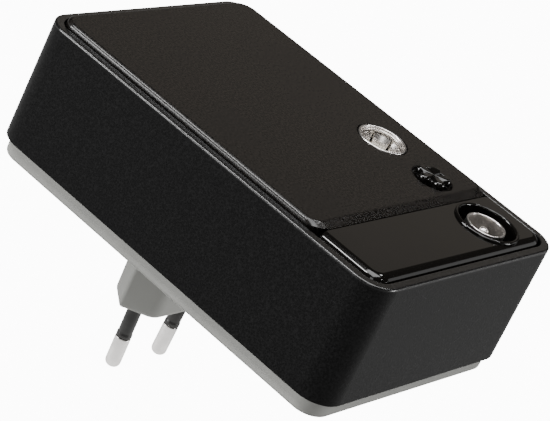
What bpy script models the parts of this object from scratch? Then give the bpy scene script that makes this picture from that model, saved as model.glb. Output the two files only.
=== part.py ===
"""Plug-in aerial signal amplifier: a cased amplifier with a two-pin mains plug moulded on its back,
a female and a male coaxial socket and a gain knob on its front.

Frame: the origin is the centre of the plug's end face, between the pins. +Z points out of the front
plates, the pins point to -Z, and the socket end lies towards -Y. Sizes below are in millimetres.
"""
import math

import bmesh
import bpy
from mathutils import Vector

MM = 0.001
GAP = 0.3              # clearance between pieces that seat on each other

# Case
CASE_WIDTH = 73.8      # over the rim, along X
CASE_LENGTH = 109.3    # over the rim, along Y
CASE_CENTRE_Y = -15.5  # middle of the case, seen from the plug
CASE_DEPTH = 31.8      # lower edge of the casing to the rim
CASE_CORNER = 7.0
CASE_DRAFT = 0.3       # growth of each side from the rim to the lower edge
RIM_WIDTH = 2.3
RIM_EDGE = 0.5         # rounding of the rim's outer edge
LEDGE_WIDTH = 1.0
LEDGE_THICKNESS = 1.6
SEAT_DEPTH = 2.6       # ledge below the rim
WALL_STEP = 0.25       # thickening of the wall in front of the board

# Rear cover and plug body
PLUG_HEIGHT = 23.2     # plug face to the back of the cover
COVER_BAND = 4.2       # height of the visible band
COVER_INSET = 1.5
COVER_FLOOR = 2.0
COVER_EDGE = 1.0
SPIGOT_HEIGHT = 2.6
SPIGOT_WALL = 1.6
PLUG_LENGTH = 34.2
PLUG_THICKNESS = 14.4
PLUG_FACET = 50.0      # slope of the end facets, degrees from the long sides
PLUG_DRAFT = 0.6
PLUG_EDGE = 1.5
PLUG_CORNER = 1.6
PLUG_WALL = 2.0
PLUG_FACE_WALL = 3.0

# Plug pins
PIN_SPACING = 19.0     # at the plug face
PIN_TIP_SPACING = 17.4
PIN_LENGTH = 19.3
PIN_RADIUS = 2.0
PIN_EDGE = 1.1         # rounding of the tip
SLEEVE_LENGTH = 10.0
SLEEVE_RADIUS = 1.85
SLEEVE_BORE = 1.5
PIN_HEAD_RADIUS = 3.0
PIN_HEAD = 1.2
PIN_TAIL = 4.0
SLEEVE_COLLAR = 0.7    # full-width end of the sleeve
SLEEVE_TAPER = 0.5

# Front plates
MAIN_PROUD = 1.5       # main fascia above the rim
LOWER_PROUD = 0.9      # lower fascia above the rim
PLATE_GAP = 0.4        # groove between the plates and the rim
PLATE_CORNER = 4.4
MAIN_EDGE = 1.1
LOWER_EDGE = 2.2
LOWER_FAR_CORNER = 0.8
STEP_RUN = 2.4         # slope at the end of the main fascia
STEP_FROM_END = 21.1   # foot of the slope from the near end of the rim

# Sockets and gain control, on one line
SOCKET_FROM_SIDE = 16.7
MALE_FROM_END = 11.9
KNOB_FROM_MALE = 17.85
FEMALE_FROM_KNOB = 16.4
SOCKET_EDGE = 0.15     # chamfer of the shells' mouths
FEMALE_RADIUS = 6.25
FEMALE_BORE = 5.55
FEMALE_PROUD = 0.15
FEMALE_FLANGE = 7.4
SPRING_WALL = 0.45
SPRING_BOW = 0.25
SPRING_LENGTH = 8.0
SPRING_NECK = 0.35     # share of the length from the mouth to the narrowest place
SPRING_SLOTS = 3       # each cuts both sides
SPRING_SLOT = 1.0
FEMALE_CONTACT = 1.7
FEMALE_CONTACT_BORE = 1.2
FEMALE_CONTACT_DEPTH = 5.0
MALE_RADIUS = 5.0
MALE_BORE = 4.45
MALE_BELOW = 0.1
MALE_FLANGE = 6.4
MALE_PIN = 1.2
MALE_PIN_DEPTH = 0.8
MALE_PIN_POINT = 0.7
SOCKET_FLANGE = 1.5
SOCKET_WEB = 3.0
INSULATOR_THICKNESS = 3.2
WELL_RADIUS = 7.3
WELL_DEPTH = 5.0
WELL_WALL = 0.6
COLLAR_WIDTH = 0.9
COLLAR_PROUD = 0.6
KNOB_RADIUS = 4.45
KNOB_LOBES = 5
KNOB_FLUTE = 1.5
KNOB_PHASE = 138.0     # direction of one flute, degrees from +X
KNOB_PROUD = 1.3
KNOB_EDGE = 0.6
KNOB_STEM = 2.5
KNOB_ENGAGE = 3.2      # shaft inside the knob
DISH_RADIUS = 5.2
DISH_DEPTH = 1.3
SHAFT_RADIUS = 1.5
POT_WIDTH = 9.6
POT_LENGTH = 10.6
POT_HEIGHT = 5.0
POT_BUSH_RADIUS = 3.2
POT_BUSH = 2.4
POT_FLOOR = 1.0

# Inside
BOARD_BELOW_RIM = 13.9  # front of the board below the rim
BOARD_THICKNESS = 1.6
BOARD_INSET = 0.8
SCREW_INSET_X = 6.3     # screw centre from the side of the rim
SCREW_INSET_Y = 6.05
BOSS_RADIUS = 3.0
PILLAR_RADIUS = 3.2
SCREW_RADIUS = 1.3
SCREW_HEAD_RADIUS = 2.4
SCREW_HEAD = 2.0
SCREW_EDGE = 0.4
SCREW_BITE = 6.0        # screw beyond the board
COUNTERBORE = 3.6
LEAD_RADIUS = 0.8
LEAD_SHIFT = -8.0
CAN_WIDTH = 27.4        # shield can
CAN_LENGTH = 42.0
CAN_HEIGHT = 8.2
CAN_WALL = 0.6
CAN_CORNER = 1.2
CAN_SHIFT = 2.0         # middle of the can from the socket line
CAN_FROM_PILLAR = 1.4
CORE_WIDTH = 30.0       # transformer
CORE_LENGTH = 25.0
CORE_STACK = 9.0
CORE_LEG = 10.0         # width of the middle leg
CORE_WINDOW = 5.0
CORE_WINDOW_LENGTH = 15.0
CORE_FROM_WALL = 2.85
BOBBIN_TUBE = 0.7
BOBBIN_FLANGE = 0.9
BOBBIN_CLEARANCE = 1.5  # in height, between the bobbin and the cover
WINDING_BELOW = 0.5     # winding below the edge of the flanges
CAPACITOR_RADIUS = 5.0
CAPACITOR_CLEARANCE = 3.5
CAPACITOR_BEAD = 0.5
CAPACITOR_FROM_WALL = 14.6
CAPACITOR_FROM_CENTRE = 9.5
RECTIFIER_WIDTH = 8.6
RECTIFIER_LENGTH = 6.4
RECTIFIER_HEIGHT = 3.4
RECTIFIER_FROM_WALL = 26.6
RECTIFIER_FROM_CENTRE = 13.0
FUSE_RADIUS = 4.2
FUSE_HEIGHT = 8.0
FUSE_FROM_WALL = 25.6
FUSE_FROM_CENTRE = 26.0
REGULATOR_WIDTH = 10.0
REGULATOR_THICKNESS = 4.4
REGULATOR_HEIGHT = 9.0
REGULATOR_TAB = 1.3
REGULATOR_CLEARANCE = 3.0
REGULATOR_FROM_WALL = 13.6
REGULATOR_FROM_CENTRE = 32.0
PART_EDGE = 0.4         # chamfer of the round parts

# Points on a full circle
FINE = 40
COARSE = 24
KNOB_POINTS = 60
CORNER_STEPS = 6
LEAD_STEPS = 13

# Planes and places worked out from the sizes above
COVER_BACK = PLUG_HEIGHT
CASE_LOW = COVER_BACK + COVER_BAND + GAP
RIM = CASE_LOW + CASE_DEPTH
LEDGE = RIM - SEAT_DEPTH
BOARD_TOP = RIM - BOARD_BELOW_RIM
BOARD_LOW = BOARD_TOP - BOARD_THICKNESS
MAIN_TOP = RIM + MAIN_PROUD
LOWER_TOP = RIM + LOWER_PROUD
PLATE_LOW = LEDGE + GAP
ON_BOARD = BOARD_TOP + GAP
UNDER_BOARD = BOARD_LOW - GAP
HALF_X = CASE_WIDTH / 2
HALF_Y = CASE_LENGTH / 2
INNER_X = HALF_X - RIM_WIDTH
INNER_Y = HALF_Y - RIM_WIDTH
INNER_CORNER = CASE_CORNER - RIM_WIDTH
SCREW_X = HALF_X - SCREW_INSET_X
SCREW_Y = HALF_Y - SCREW_INSET_Y
SCREW_HOLE = SCREW_RADIUS + GAP
MIDDLE = (0.0, CASE_CENTRE_Y)
NEAR_END = CASE_CENTRE_Y - HALF_Y
SOCKET_X = HALF_X - SOCKET_FROM_SIDE
MALE_AT = (SOCKET_X, NEAR_END + MALE_FROM_END)
KNOB_AT = (SOCKET_X, MALE_AT[1] + KNOB_FROM_MALE)
FEMALE_AT = (SOCKET_X, KNOB_AT[1] + FEMALE_FROM_KNOB)
STEP_FOOT = NEAR_END + STEP_FROM_END
COVER_INSIDE = COVER_BACK + COVER_FLOOR
ROOM = UNDER_BOARD - COVER_INSIDE   # height behind the board
SPRING_RADIUS = FEMALE_BORE - GAP
PIN_TILT = math.atan((PIN_SPACING - PIN_TIP_SPACING) / 2 / PIN_LENGTH)
KNOB_LOW = MAIN_TOP - DISH_DEPTH + GAP
KNOB_TOP = MAIN_TOP + KNOB_PROUD


def clear_scene():
    """Remove every object that the file opened with."""
    for thing in list(bpy.data.objects):
        bpy.data.objects.remove(thing)


def finish(name, colour, roughness, metallic=0.0):
    """A plain material for one kind of surface."""
    material = bpy.data.materials.new(name)
    material.use_nodes = True
    shader = material.node_tree.nodes["Principled BSDF"]
    shader.inputs["Base Color"].default_value = (*colour, 1.0)
    shader.inputs["Roughness"].default_value = roughness
    shader.inputs["Metallic"].default_value = metallic
    return material


# Outlines, as lists of (x, y) in mm, anticlockwise

def circle(radius, count=FINE):
    turn = 2 * math.pi / count
    return [(radius * math.cos(i * turn), radius * math.sin(i * turn)) for i in range(count)]


def rounded_rect(half_x, half_y, near_radius, centre=(0.0, 0.0), far_radius=None):
    """A rectangle with rounded corners; the two at the far end may have their own radius."""
    points = []
    for quarter, (side_x, side_y) in enumerate(((1, 1), (-1, 1), (-1, -1), (1, -1))):
        radius = far_radius if far_radius is not None and side_y > 0 else near_radius
        for i in range(CORNER_STEPS + 1):
            angle = math.radians(90 * (quarter + i / CORNER_STEPS))
            points.append((centre[0] + side_x * (half_x - radius) + radius * math.cos(angle),
                           centre[1] + side_y * (half_y - radius) + radius * math.sin(angle)))
    return points


def box_outline(half_x, half_y):
    return [(half_x, -half_y), (half_x, half_y), (-half_x, half_y), (-half_x, -half_y)]


def notched_rect(half_x, half_y, centre):
    """A rectangle whose corners step back round the four screw bosses."""
    points = []
    for side_x, side_y in ((1, 1), (-1, 1), (-1, -1), (1, -1)):
        on_side = (side_x * half_x, side_y * (SCREW_Y - BOSS_RADIUS))
        turns = [math.radians(90 * i / CORNER_STEPS) for i in range(CORNER_STEPS + 1)]
        arc = [(side_x * (SCREW_X - BOSS_RADIUS * math.sin(a)),
                side_y * (SCREW_Y - BOSS_RADIUS * math.cos(a))) for a in turns]
        on_end = (side_x * (SCREW_X - BOSS_RADIUS), side_y * half_y)
        corner = [on_side, *arc, on_end]
        points += corner if side_x == side_y else corner[::-1]
    return [(x + centre[0], y + centre[1]) for x, y in points]


def plug_outline(inset):
    """The plug's flat hexagon with sloped end facets and rounded corners, drawn in by an inset."""
    slope = math.radians(PLUG_FACET)
    half_y = PLUG_THICKNESS / 2 - inset
    half_x = PLUG_LENGTH / 2 - inset / math.sin(slope)
    flat = half_x - half_y / math.tan(slope)
    corners = [(half_x, 0), (flat, half_y), (-flat, half_y), (-half_x, 0), (-flat, -half_y), (flat, -half_y)]
    end = 180 - 2 * PLUG_FACET
    turns = (end, PLUG_FACET, PLUG_FACET, end, PLUG_FACET, PLUG_FACET)
    start = -end / 2
    points = []
    for (x, y), turn in zip(corners, turns):
        reach = PLUG_CORNER / math.cos(math.radians(turn / 2))
        middle = math.radians(start + turn / 2)
        hub = (x - reach * math.cos(middle), y - reach * math.sin(middle))
        for i in range(4):
            angle = math.radians(start + turn * i / 3)
            points.append((hub[0] + PLUG_CORNER * math.cos(angle), hub[1] + PLUG_CORNER * math.sin(angle)))
        start += turn
    return points


def knob_outline(inset):
    """A star of round lobes: the radius dips by the flute depth once per lobe."""
    points = []
    for i in range(KNOB_POINTS):
        angle = 2 * math.pi * i / KNOB_POINTS
        wave = 0.5 + 0.5 * math.cos(KNOB_LOBES * (angle - math.radians(KNOB_PHASE)))
        radius = KNOB_RADIUS - inset - KNOB_FLUTE * wave ** 1.6
        points.append((radius * math.cos(angle), radius * math.sin(angle)))
    return points


# Solids

def skin(name, rings, material, closed=False, at=(0.0, 0.0)):
    """Skin rings of (outline, z): cap the first and last ring, or join the last ring to the first."""
    mesh = bpy.data.meshes.new(name)
    bm = bmesh.new()
    loops = [[bm.verts.new(Vector((x, y, z)) * MM) for x, y in outline] for outline, z in rings]
    pairs = list(zip(loops, loops[1:]))
    if closed:
        pairs.append((loops[-1], loops[0]))
    else:
        bm.faces.new(loops[0][::-1])
        bm.faces.new(loops[-1])
    for low, high in pairs:
        for i in range(len(low)):
            bm.faces.new((low[i - 1], low[i], high[i], high[i - 1]))
    bmesh.ops.recalc_face_normals(bm, faces=bm.faces)
    bm.to_mesh(mesh)
    bm.free()
    piece = bpy.data.objects.new(name, mesh)
    piece.location = (at[0] * MM, at[1] * MM, 0.0)
    bpy.context.scene.collection.objects.link(piece)
    if material:
        mesh.materials.append(material)
    return piece


def turned(name, profile, material=None, at=(0.0, 0.0), count=FINE, ring=False):
    """Turn (radius, z) points about the upright axis: a ring if the profile is a closed loop."""
    return skin(name, [(circle(radius, count), z) for radius, z in profile], material, ring, at)


def prism(name, outline, low, high, material=None, at=(0.0, 0.0)):
    return skin(name, [(outline, low), (outline, high)], material, False, at)


def combine(target, tool, operation):
    """Join a tool to a piece, or cut it out of the piece, and drop the tool."""
    modifier = target.modifiers.new(operation, "BOOLEAN")
    modifier.operation = operation
    modifier.object = tool
    bpy.context.view_layer.update()
    graph = bpy.context.evaluated_depsgraph_get()
    mesh = bpy.data.meshes.new_from_object(target.evaluated_get(graph))
    target.modifiers.clear()
    target.data = mesh
    bpy.data.objects.remove(tool)


def cut(target, tool):
    combine(target, tool, "DIFFERENCE")


def add(target, tool):
    combine(target, tool, "UNION")


def screw_places():
    return [(sx * SCREW_X, CASE_CENTRE_Y + sy * SCREW_Y) for sy in (-1, 1) for sx in (-1, 1)]


# Pieces of the case

def front_casing(black):
    """Drafted box, open at the back, with a rim, a ledge for the front plates and four screw bosses."""
    def outline(grow):
        return rounded_rect(HALF_X + grow, HALF_Y + grow, CASE_CORNER + grow, MIDDLE)

    rings = [(outline(CASE_DRAFT), CASE_LOW), (outline(0.0), RIM - RIM_EDGE)]
    for degrees in (30, 60, 90):
        angle = math.radians(degrees)
        rings.append((outline(RIM_EDGE * (math.cos(angle) - 1)), RIM - RIM_EDGE * (1 - math.sin(angle))))
    casing = skin("front_casing", rings, black)
    inner = rounded_rect(INNER_X, INNER_Y, INNER_CORNER, MIDDLE)
    deep_x = INNER_X - WALL_STEP
    deep_y = INNER_Y - WALL_STEP
    cut(casing, prism("hollow", inner, CASE_LOW - 1, ON_BOARD))
    cut(casing, prism("front_hollow", notched_rect(deep_x, deep_y, MIDDLE), ON_BOARD - 1,
                      LEDGE - LEDGE_THICKNESS))
    window = notched_rect(INNER_X - LEDGE_WIDTH, INNER_Y - LEDGE_WIDTH, MIDDLE)
    cut(casing, prism("window", window, LEDGE - LEDGE_THICKNESS - 1, LEDGE + 1))
    cut(casing, prism("plate_seat", inner, LEDGE, RIM + 1))
    for place in screw_places():
        cut(casing, turned("pilot", [(SCREW_HOLE, ON_BOARD - 1), (SCREW_HOLE, BOARD_TOP + SCREW_BITE + GAP)],
                           at=place, count=COARSE))
    return casing


def plate_rings(near, far, edge, near_edge, top, square_far=False):
    """Rings of a plate with rounded upper edges; near_edge(z) is how far the near end draws in at a height."""
    half_x = INNER_X - PLATE_GAP
    rings = []
    heights = [(PLATE_LOW, 0.0)]
    for degrees in range(0, 91, 18):
        angle = math.radians(degrees)
        heights.append((top - edge * (1 - math.sin(angle)), edge * (1 - math.cos(angle))))
    for z, inset in heights:
        low = near + near_edge(z)
        high = far if square_far else far - inset
        far_corner = LOWER_FAR_CORNER if square_far else None
        outline = rounded_rect(half_x - inset, (high - low) / 2, PLATE_CORNER - inset,
                               (0.0, (high + low) / 2), far_corner)
        rings.append((outline, z))
    return rings


def main_fascia(satin):
    """Satin front plate with a sloped end, the female socket's hole and the knob's dish."""
    near = STEP_FOOT
    far = CASE_CENTRE_Y + INNER_Y - PLATE_GAP

    def slope(z):
        return STEP_RUN * max(0.0, (z - LOWER_TOP) / (MAIN_TOP - LOWER_TOP))

    plate = skin("main_fascia", plate_rings(near, far, MAIN_EDGE, slope, MAIN_TOP), satin)
    hole = FEMALE_RADIUS + GAP
    stem_hole = KNOB_STEM + GAP
    cut(plate, turned("socket_hole", [(hole, PLATE_LOW - 1), (hole, MAIN_TOP + 1)], at=FEMALE_AT))
    floor = MAIN_TOP - DISH_DEPTH
    cut(plate, turned("dish", [(DISH_RADIUS, floor), (DISH_RADIUS, MAIN_TOP + 1)], at=KNOB_AT))
    cut(plate, turned("stem_hole", [(stem_hole, PLATE_LOW - 1), (stem_hole, MAIN_TOP)], at=KNOB_AT))
    return plate


def lower_fascia(gloss):
    """Gloss plate at the socket end with a collared well round the male socket."""
    near = CASE_CENTRE_Y - INNER_Y + PLATE_GAP
    far = STEP_FOOT - GAP

    def round_over(z):
        rise = max(0.0, z - (LOWER_TOP - LOWER_EDGE))
        return LOWER_EDGE - math.sqrt(LOWER_EDGE ** 2 - min(rise, LOWER_EDGE) ** 2)

    plate = skin("lower_fascia", plate_rings(near, far, LOWER_EDGE, round_over, LOWER_TOP, True), gloss)
    cup = WELL_RADIUS + WELL_WALL
    collar = WELL_RADIUS + COLLAR_WIDTH
    well_floor = LOWER_TOP - WELL_DEPTH
    add(plate, turned("cup", [(cup, well_floor - WELL_WALL), (cup, LOWER_TOP - LOWER_EDGE),
                              (collar, LOWER_TOP - LOWER_EDGE / 2), (collar, LOWER_TOP + COLLAR_PROUD / 2),
                              (collar - COLLAR_WIDTH / 2, LOWER_TOP + COLLAR_PROUD)], at=MALE_AT))
    hole = MALE_RADIUS + GAP
    cut(plate, turned("well", [(WELL_RADIUS, well_floor), (WELL_RADIUS, LOWER_TOP + 2)], at=MALE_AT))
    cut(plate, turned("shell_hole", [(hole, well_floor - 2), (hole, well_floor + 1)], at=MALE_AT))
    return plate


def rear_cover(grey):
    """Grey back: a shallow tray with screw pillars, and the hollow plug body moulded on it."""
    inset = COVER_INSET - CASE_DRAFT
    spigot = RIM_WIDTH + PLATE_GAP

    def outline(draw):
        return rounded_rect(HALF_X - draw, HALF_Y - draw, CASE_CORNER - draw, MIDDLE)

    band_top = COVER_BACK + COVER_BAND
    rings = []
    for degrees in (90, 60, 30, 0):
        angle = math.radians(degrees)
        rings.append((outline(inset + COVER_EDGE * (1 - math.cos(angle))),
                      COVER_BACK + COVER_EDGE * (1 - math.sin(angle))))
    spigot_top = band_top + SPIGOT_HEIGHT
    rings += [(outline(inset), band_top), (outline(spigot), band_top), (outline(spigot), spigot_top)]
    cover = skin("rear_cover", rings, grey)
    tray = outline(spigot + SPIGOT_WALL)
    cut(cover, prism("tray", tray, COVER_INSIDE, spigot_top + 1))

    plug_rings = []
    for degrees in (90, 60, 30, 0):
        angle = math.radians(degrees)
        plug_rings.append((plug_outline(PLUG_EDGE * (1 - math.cos(angle))),
                           PLUG_EDGE * (1 - math.sin(angle))))
    plug_rings.append((plug_outline(-PLUG_DRAFT), COVER_BACK + COVER_FLOOR / 2))
    add(cover, skin("plug_body", plug_rings, None))
    cut(cover, prism("plug_hollow", plug_outline(PLUG_WALL), PLUG_FACE_WALL, COVER_INSIDE + 1))

    for place in screw_places():
        root = COVER_BACK + COVER_FLOOR / 2
        add(cover, turned("pillar", [(PILLAR_RADIUS, root), (PILLAR_RADIUS, UNDER_BOARD)], at=place,
                          count=COARSE))
        head = SCREW_HEAD_RADIUS + GAP
        seat = COVER_BACK + COUNTERBORE
        cut(cover, turned("screw_hole", [(head, COVER_BACK - 1), (head, seat), (SCREW_HOLE, seat),
                                         (SCREW_HOLE, UNDER_BOARD + 1)], at=place, count=COARSE))
    for side in (-1, 1):
        hole = SLEEVE_RADIUS + GAP
        tool = turned("pin_hole", [(hole, -1), (hole, PLUG_FACE_WALL + 1)], count=COARSE)
        tilt_pin(tool, side)
        cut(cover, tool)
    return cover


def case_screws(steel):
    """Four screws from the back, through the cover's pillars and the board into the casing's bosses."""
    seat = COVER_BACK + COUNTERBORE - GAP
    end = BOARD_TOP + SCREW_BITE
    profile = [(SCREW_HEAD_RADIUS - SCREW_EDGE, seat - SCREW_HEAD),
               (SCREW_HEAD_RADIUS, seat - SCREW_HEAD + SCREW_EDGE), (SCREW_HEAD_RADIUS, seat),
               (SCREW_RADIUS, seat), (SCREW_RADIUS, end - 2 * SCREW_EDGE), (SCREW_RADIUS / 2, end)]
    for number, place in enumerate(screw_places(), 1):
        turned(f"case_screw_{number}", profile, steel, at=place, count=COARSE)


# Plug pins

def tilt_pin(piece, side):
    """Stand a piece on its pin's axis: the tips lean towards each other."""
    piece.location.x = side * PIN_SPACING / 2 * MM
    piece.rotation_euler.y = side * PIN_TILT


def plug_pins(plated, rubber_black):
    sleeve_low = -SLEEVE_LENGTH
    sleeve_top = PLUG_FACE_WALL - GAP
    neck = SLEEVE_BORE - GAP
    head_low = PLUG_FACE_WALL + GAP
    tip = [(PIN_RADIUS - PIN_EDGE * (1 - math.cos(math.radians(a))),
            -PIN_LENGTH + PIN_EDGE * (1 - math.sin(math.radians(a)))) for a in (90, 67, 45, 22, 0)]
    pin = [*tip, (PIN_RADIUS, sleeve_low - GAP), (neck, sleeve_low - GAP), (neck, head_low),
           (PIN_HEAD_RADIUS, head_low), (PIN_HEAD_RADIUS, head_low + PIN_HEAD), (neck, head_low + PIN_HEAD),
           (neck, head_low + PIN_HEAD + PIN_TAIL)]
    sleeve = [(SLEEVE_BORE, sleeve_low), (PIN_RADIUS, sleeve_low), (PIN_RADIUS, sleeve_low + SLEEVE_COLLAR),
              (SLEEVE_RADIUS, sleeve_low + SLEEVE_COLLAR + SLEEVE_TAPER), (SLEEVE_RADIUS, sleeve_top),
              (SLEEVE_BORE, sleeve_top)]
    for side, word in ((-1, "left"), (1, "right")):
        tilt_pin(turned(f"plug_pin_{word}", pin, plated, count=COARSE), side)
        tilt_pin(turned(f"pin_sleeve_{word}", sleeve, rubber_black, count=COARSE, ring=True), side)


def mains_leads(brown, blue):
    """Insulated wires from the pin tails to the board, bent away from the transformer above the plug."""
    low = PLUG_FACE_WALL + GAP + PIN_HEAD + PIN_TAIL + 2 * GAP
    high = UNDER_BOARD
    for side, name, material in ((-1, "live_lead", brown), (1, "neutral_lead", blue)):
        x = side * (PIN_SPACING / 2 + low * math.tan(PIN_TILT))
        curve = bpy.data.curves.new(name, "CURVE")
        curve.dimensions = "3D"
        curve.bevel_depth = LEAD_RADIUS * MM
        curve.bevel_resolution = 2
        curve.use_fill_caps = True
        spline = curve.splines.new("POLY")
        spline.points.add(LEAD_STEPS)
        for i, point in enumerate(spline.points):
            z = low + (high - low) * i / (LEAD_STEPS)
            t = max(0.0, (z - COVER_INSIDE) / (high - COVER_INSIDE))
            y = LEAD_SHIFT * t * t * (3 - 2 * t)
            point.co = (x * MM, y * MM, z * MM, 1.0)
        curve.materials.append(material)
        bpy.context.scene.collection.objects.link(bpy.data.objects.new(name, curve))


# Sockets and gain control

def female_socket(plated, white):
    top = MAIN_TOP + FEMALE_PROUD
    base = ON_BOARD + SOCKET_FLANGE
    web = ON_BOARD + SOCKET_WEB
    through = FEMALE_CONTACT + 3 * GAP
    turned("female_socket_shell", [
        (FEMALE_FLANGE, ON_BOARD), (FEMALE_FLANGE, base), (FEMALE_RADIUS, base),
        (FEMALE_RADIUS, top - SOCKET_EDGE), (FEMALE_RADIUS - SOCKET_EDGE, top),
        (FEMALE_BORE + SOCKET_EDGE, top), (FEMALE_BORE, top - SOCKET_EDGE),
        (FEMALE_BORE, web), (through, web), (through, ON_BOARD)], plated, FEMALE_AT, ring=True)
    insulator_top = web + GAP + INSULATOR_THICKNESS
    turned("female_socket_insulator", [
        (SPRING_RADIUS, web + GAP), (SPRING_RADIUS, insulator_top), (FEMALE_CONTACT + GAP, insulator_top),
        (FEMALE_CONTACT + GAP, web + GAP)], white, FEMALE_AT, ring=True)
    contact_top = top - FEMALE_CONTACT_DEPTH
    contact = turned("female_socket_contact", [
        (FEMALE_CONTACT_BORE, insulator_top - 1), (FEMALE_CONTACT_BORE, contact_top),
        (FEMALE_CONTACT, contact_top), (FEMALE_CONTACT, ON_BOARD)], plated, FEMALE_AT, COARSE)
    slot = prism("contact_slot", box_outline(FEMALE_CONTACT + 1, GAP), insulator_top + GAP, contact_top + 1,
                 at=FEMALE_AT)
    cut(contact, slot)
    spring_top = top - 2 * GAP
    spring_low = spring_top - SPRING_LENGTH
    inner = SPRING_RADIUS - SPRING_WALL
    bow = spring_top - SPRING_LENGTH * SPRING_NECK
    spring = turned("female_socket_spring", [
        (SPRING_RADIUS, spring_low), (SPRING_RADIUS, spring_low + SPRING_LENGTH / 4),
        (SPRING_RADIUS - SPRING_BOW, bow), (SPRING_RADIUS, spring_top), (inner, spring_top),
        (inner - SPRING_BOW, bow), (inner, spring_low + SPRING_LENGTH / 4), (inner, spring_low)],
        plated, FEMALE_AT, ring=True)
    for i in range(SPRING_SLOTS):
        slot = prism("spring_slot", box_outline(SPRING_RADIUS + 1, SPRING_SLOT / 2),
                     spring_low + SPRING_LENGTH / 4, spring_top + 1, at=FEMALE_AT)
        slot.rotation_euler.z = math.pi * i / SPRING_SLOTS
        cut(spring, slot)


def male_socket(plated, white):
    top = LOWER_TOP - MALE_BELOW
    base = ON_BOARD + SOCKET_FLANGE
    web = ON_BOARD + SOCKET_WEB
    through = MALE_PIN + 3 * GAP
    turned("male_socket_shell", [
        (MALE_FLANGE, ON_BOARD), (MALE_FLANGE, base), (MALE_RADIUS, base), (MALE_RADIUS, top - SOCKET_EDGE),
        (MALE_RADIUS - SOCKET_EDGE, top), (MALE_BORE + SOCKET_EDGE, top), (MALE_BORE, top - SOCKET_EDGE),
        (MALE_BORE, web), (through, web), (through, ON_BOARD)], plated, MALE_AT, ring=True)
    insulator_top = web + GAP + INSULATOR_THICKNESS
    outer = MALE_BORE - GAP
    turned("male_socket_insulator", [
        (outer, web + GAP), (outer, insulator_top), (MALE_PIN + GAP, insulator_top),
        (MALE_PIN + GAP, web + GAP)], white, MALE_AT, ring=True)
    tip = top - MALE_PIN_DEPTH
    turned("male_socket_pin", [(MALE_PIN, ON_BOARD), (MALE_PIN, tip - MALE_PIN_POINT),
                               (MALE_PIN * 0.8, tip - MALE_PIN_POINT * 0.3), (MALE_PIN * 0.45, tip)],
           plated, MALE_AT, COARSE)


def gain_control(gloss, plated, green):
    """Potentiometer on the board, with its shaft and the fluted knob on one axis."""
    body_top = ON_BOARD + POT_HEIGHT
    bush_top = body_top + POT_BUSH
    body = prism("gain_potentiometer", box_outline(POT_WIDTH / 2, POT_LENGTH / 2), ON_BOARD, body_top, green,
                 KNOB_AT)
    add(body, turned("bush", [(POT_BUSH_RADIUS, body_top - 1), (POT_BUSH_RADIUS, bush_top)], at=KNOB_AT,
                     count=COARSE))
    hole = SHAFT_RADIUS + GAP
    pocket = ON_BOARD + POT_FLOOR
    cut(body, turned("shaft_hole", [(hole, pocket), (hole, bush_top + 1)], at=KNOB_AT, count=COARSE))

    axis = bpy.data.objects.new("gain_axis", None)
    axis.location = (KNOB_AT[0] * MM, KNOB_AT[1] * MM, 0.0)
    bpy.context.scene.collection.objects.link(axis)
    bore_roof = KNOB_LOW
    stem_low = bore_roof - KNOB_ENGAGE
    shaft = turned("gain_shaft", [(SHAFT_RADIUS, pocket + GAP), (SHAFT_RADIUS, bore_roof - GAP)], plated,
                   count=COARSE)
    bore = circle(SHAFT_RADIUS + GAP, KNOB_POINTS)
    stem = circle(KNOB_STEM, KNOB_POINTS)
    knob = skin("gain_knob", [
        (bore, bore_roof), (bore, stem_low), (stem, stem_low), (stem, KNOB_LOW),
        (knob_outline(0.0), KNOB_LOW), (knob_outline(0.0), KNOB_TOP - KNOB_EDGE),
        (knob_outline(KNOB_EDGE * 0.3), KNOB_TOP - KNOB_EDGE * 0.3), (knob_outline(KNOB_EDGE), KNOB_TOP)],
        gloss)
    for piece in (shaft, knob):
        piece.parent = axis


# Board and what it carries

def circuit_board(green):
    outline = rounded_rect(INNER_X - BOARD_INSET, INNER_Y - BOARD_INSET, INNER_CORNER - BOARD_INSET, MIDDLE)
    board = prism("circuit_board", outline, BOARD_LOW, BOARD_TOP, green)
    for place in screw_places():
        cut(board, turned("hole", [(SCREW_HOLE, BOARD_LOW - 1), (SCREW_HOLE, BOARD_TOP + 1)], at=place,
                          count=COARSE))


def shield_can(tin):
    """Open tinplate can, its mouth on the board behind the sockets."""
    near = CASE_CENTRE_Y - SCREW_Y + PILLAR_RADIUS + CAN_FROM_PILLAR
    middle = (SOCKET_X - CAN_SHIFT, near + CAN_LENGTH / 2)
    outer = rounded_rect(CAN_WIDTH / 2, CAN_LENGTH / 2, CAN_CORNER)
    inner = rounded_rect(CAN_WIDTH / 2 - CAN_WALL, CAN_LENGTH / 2 - CAN_WALL, CAN_CORNER - CAN_WALL)
    low = UNDER_BOARD - CAN_HEIGHT
    skin("shield_can", [(outer, low), (outer, UNDER_BOARD), (inner, UNDER_BOARD), (inner, low + CAN_WALL)],
         tin, at=middle)


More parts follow.
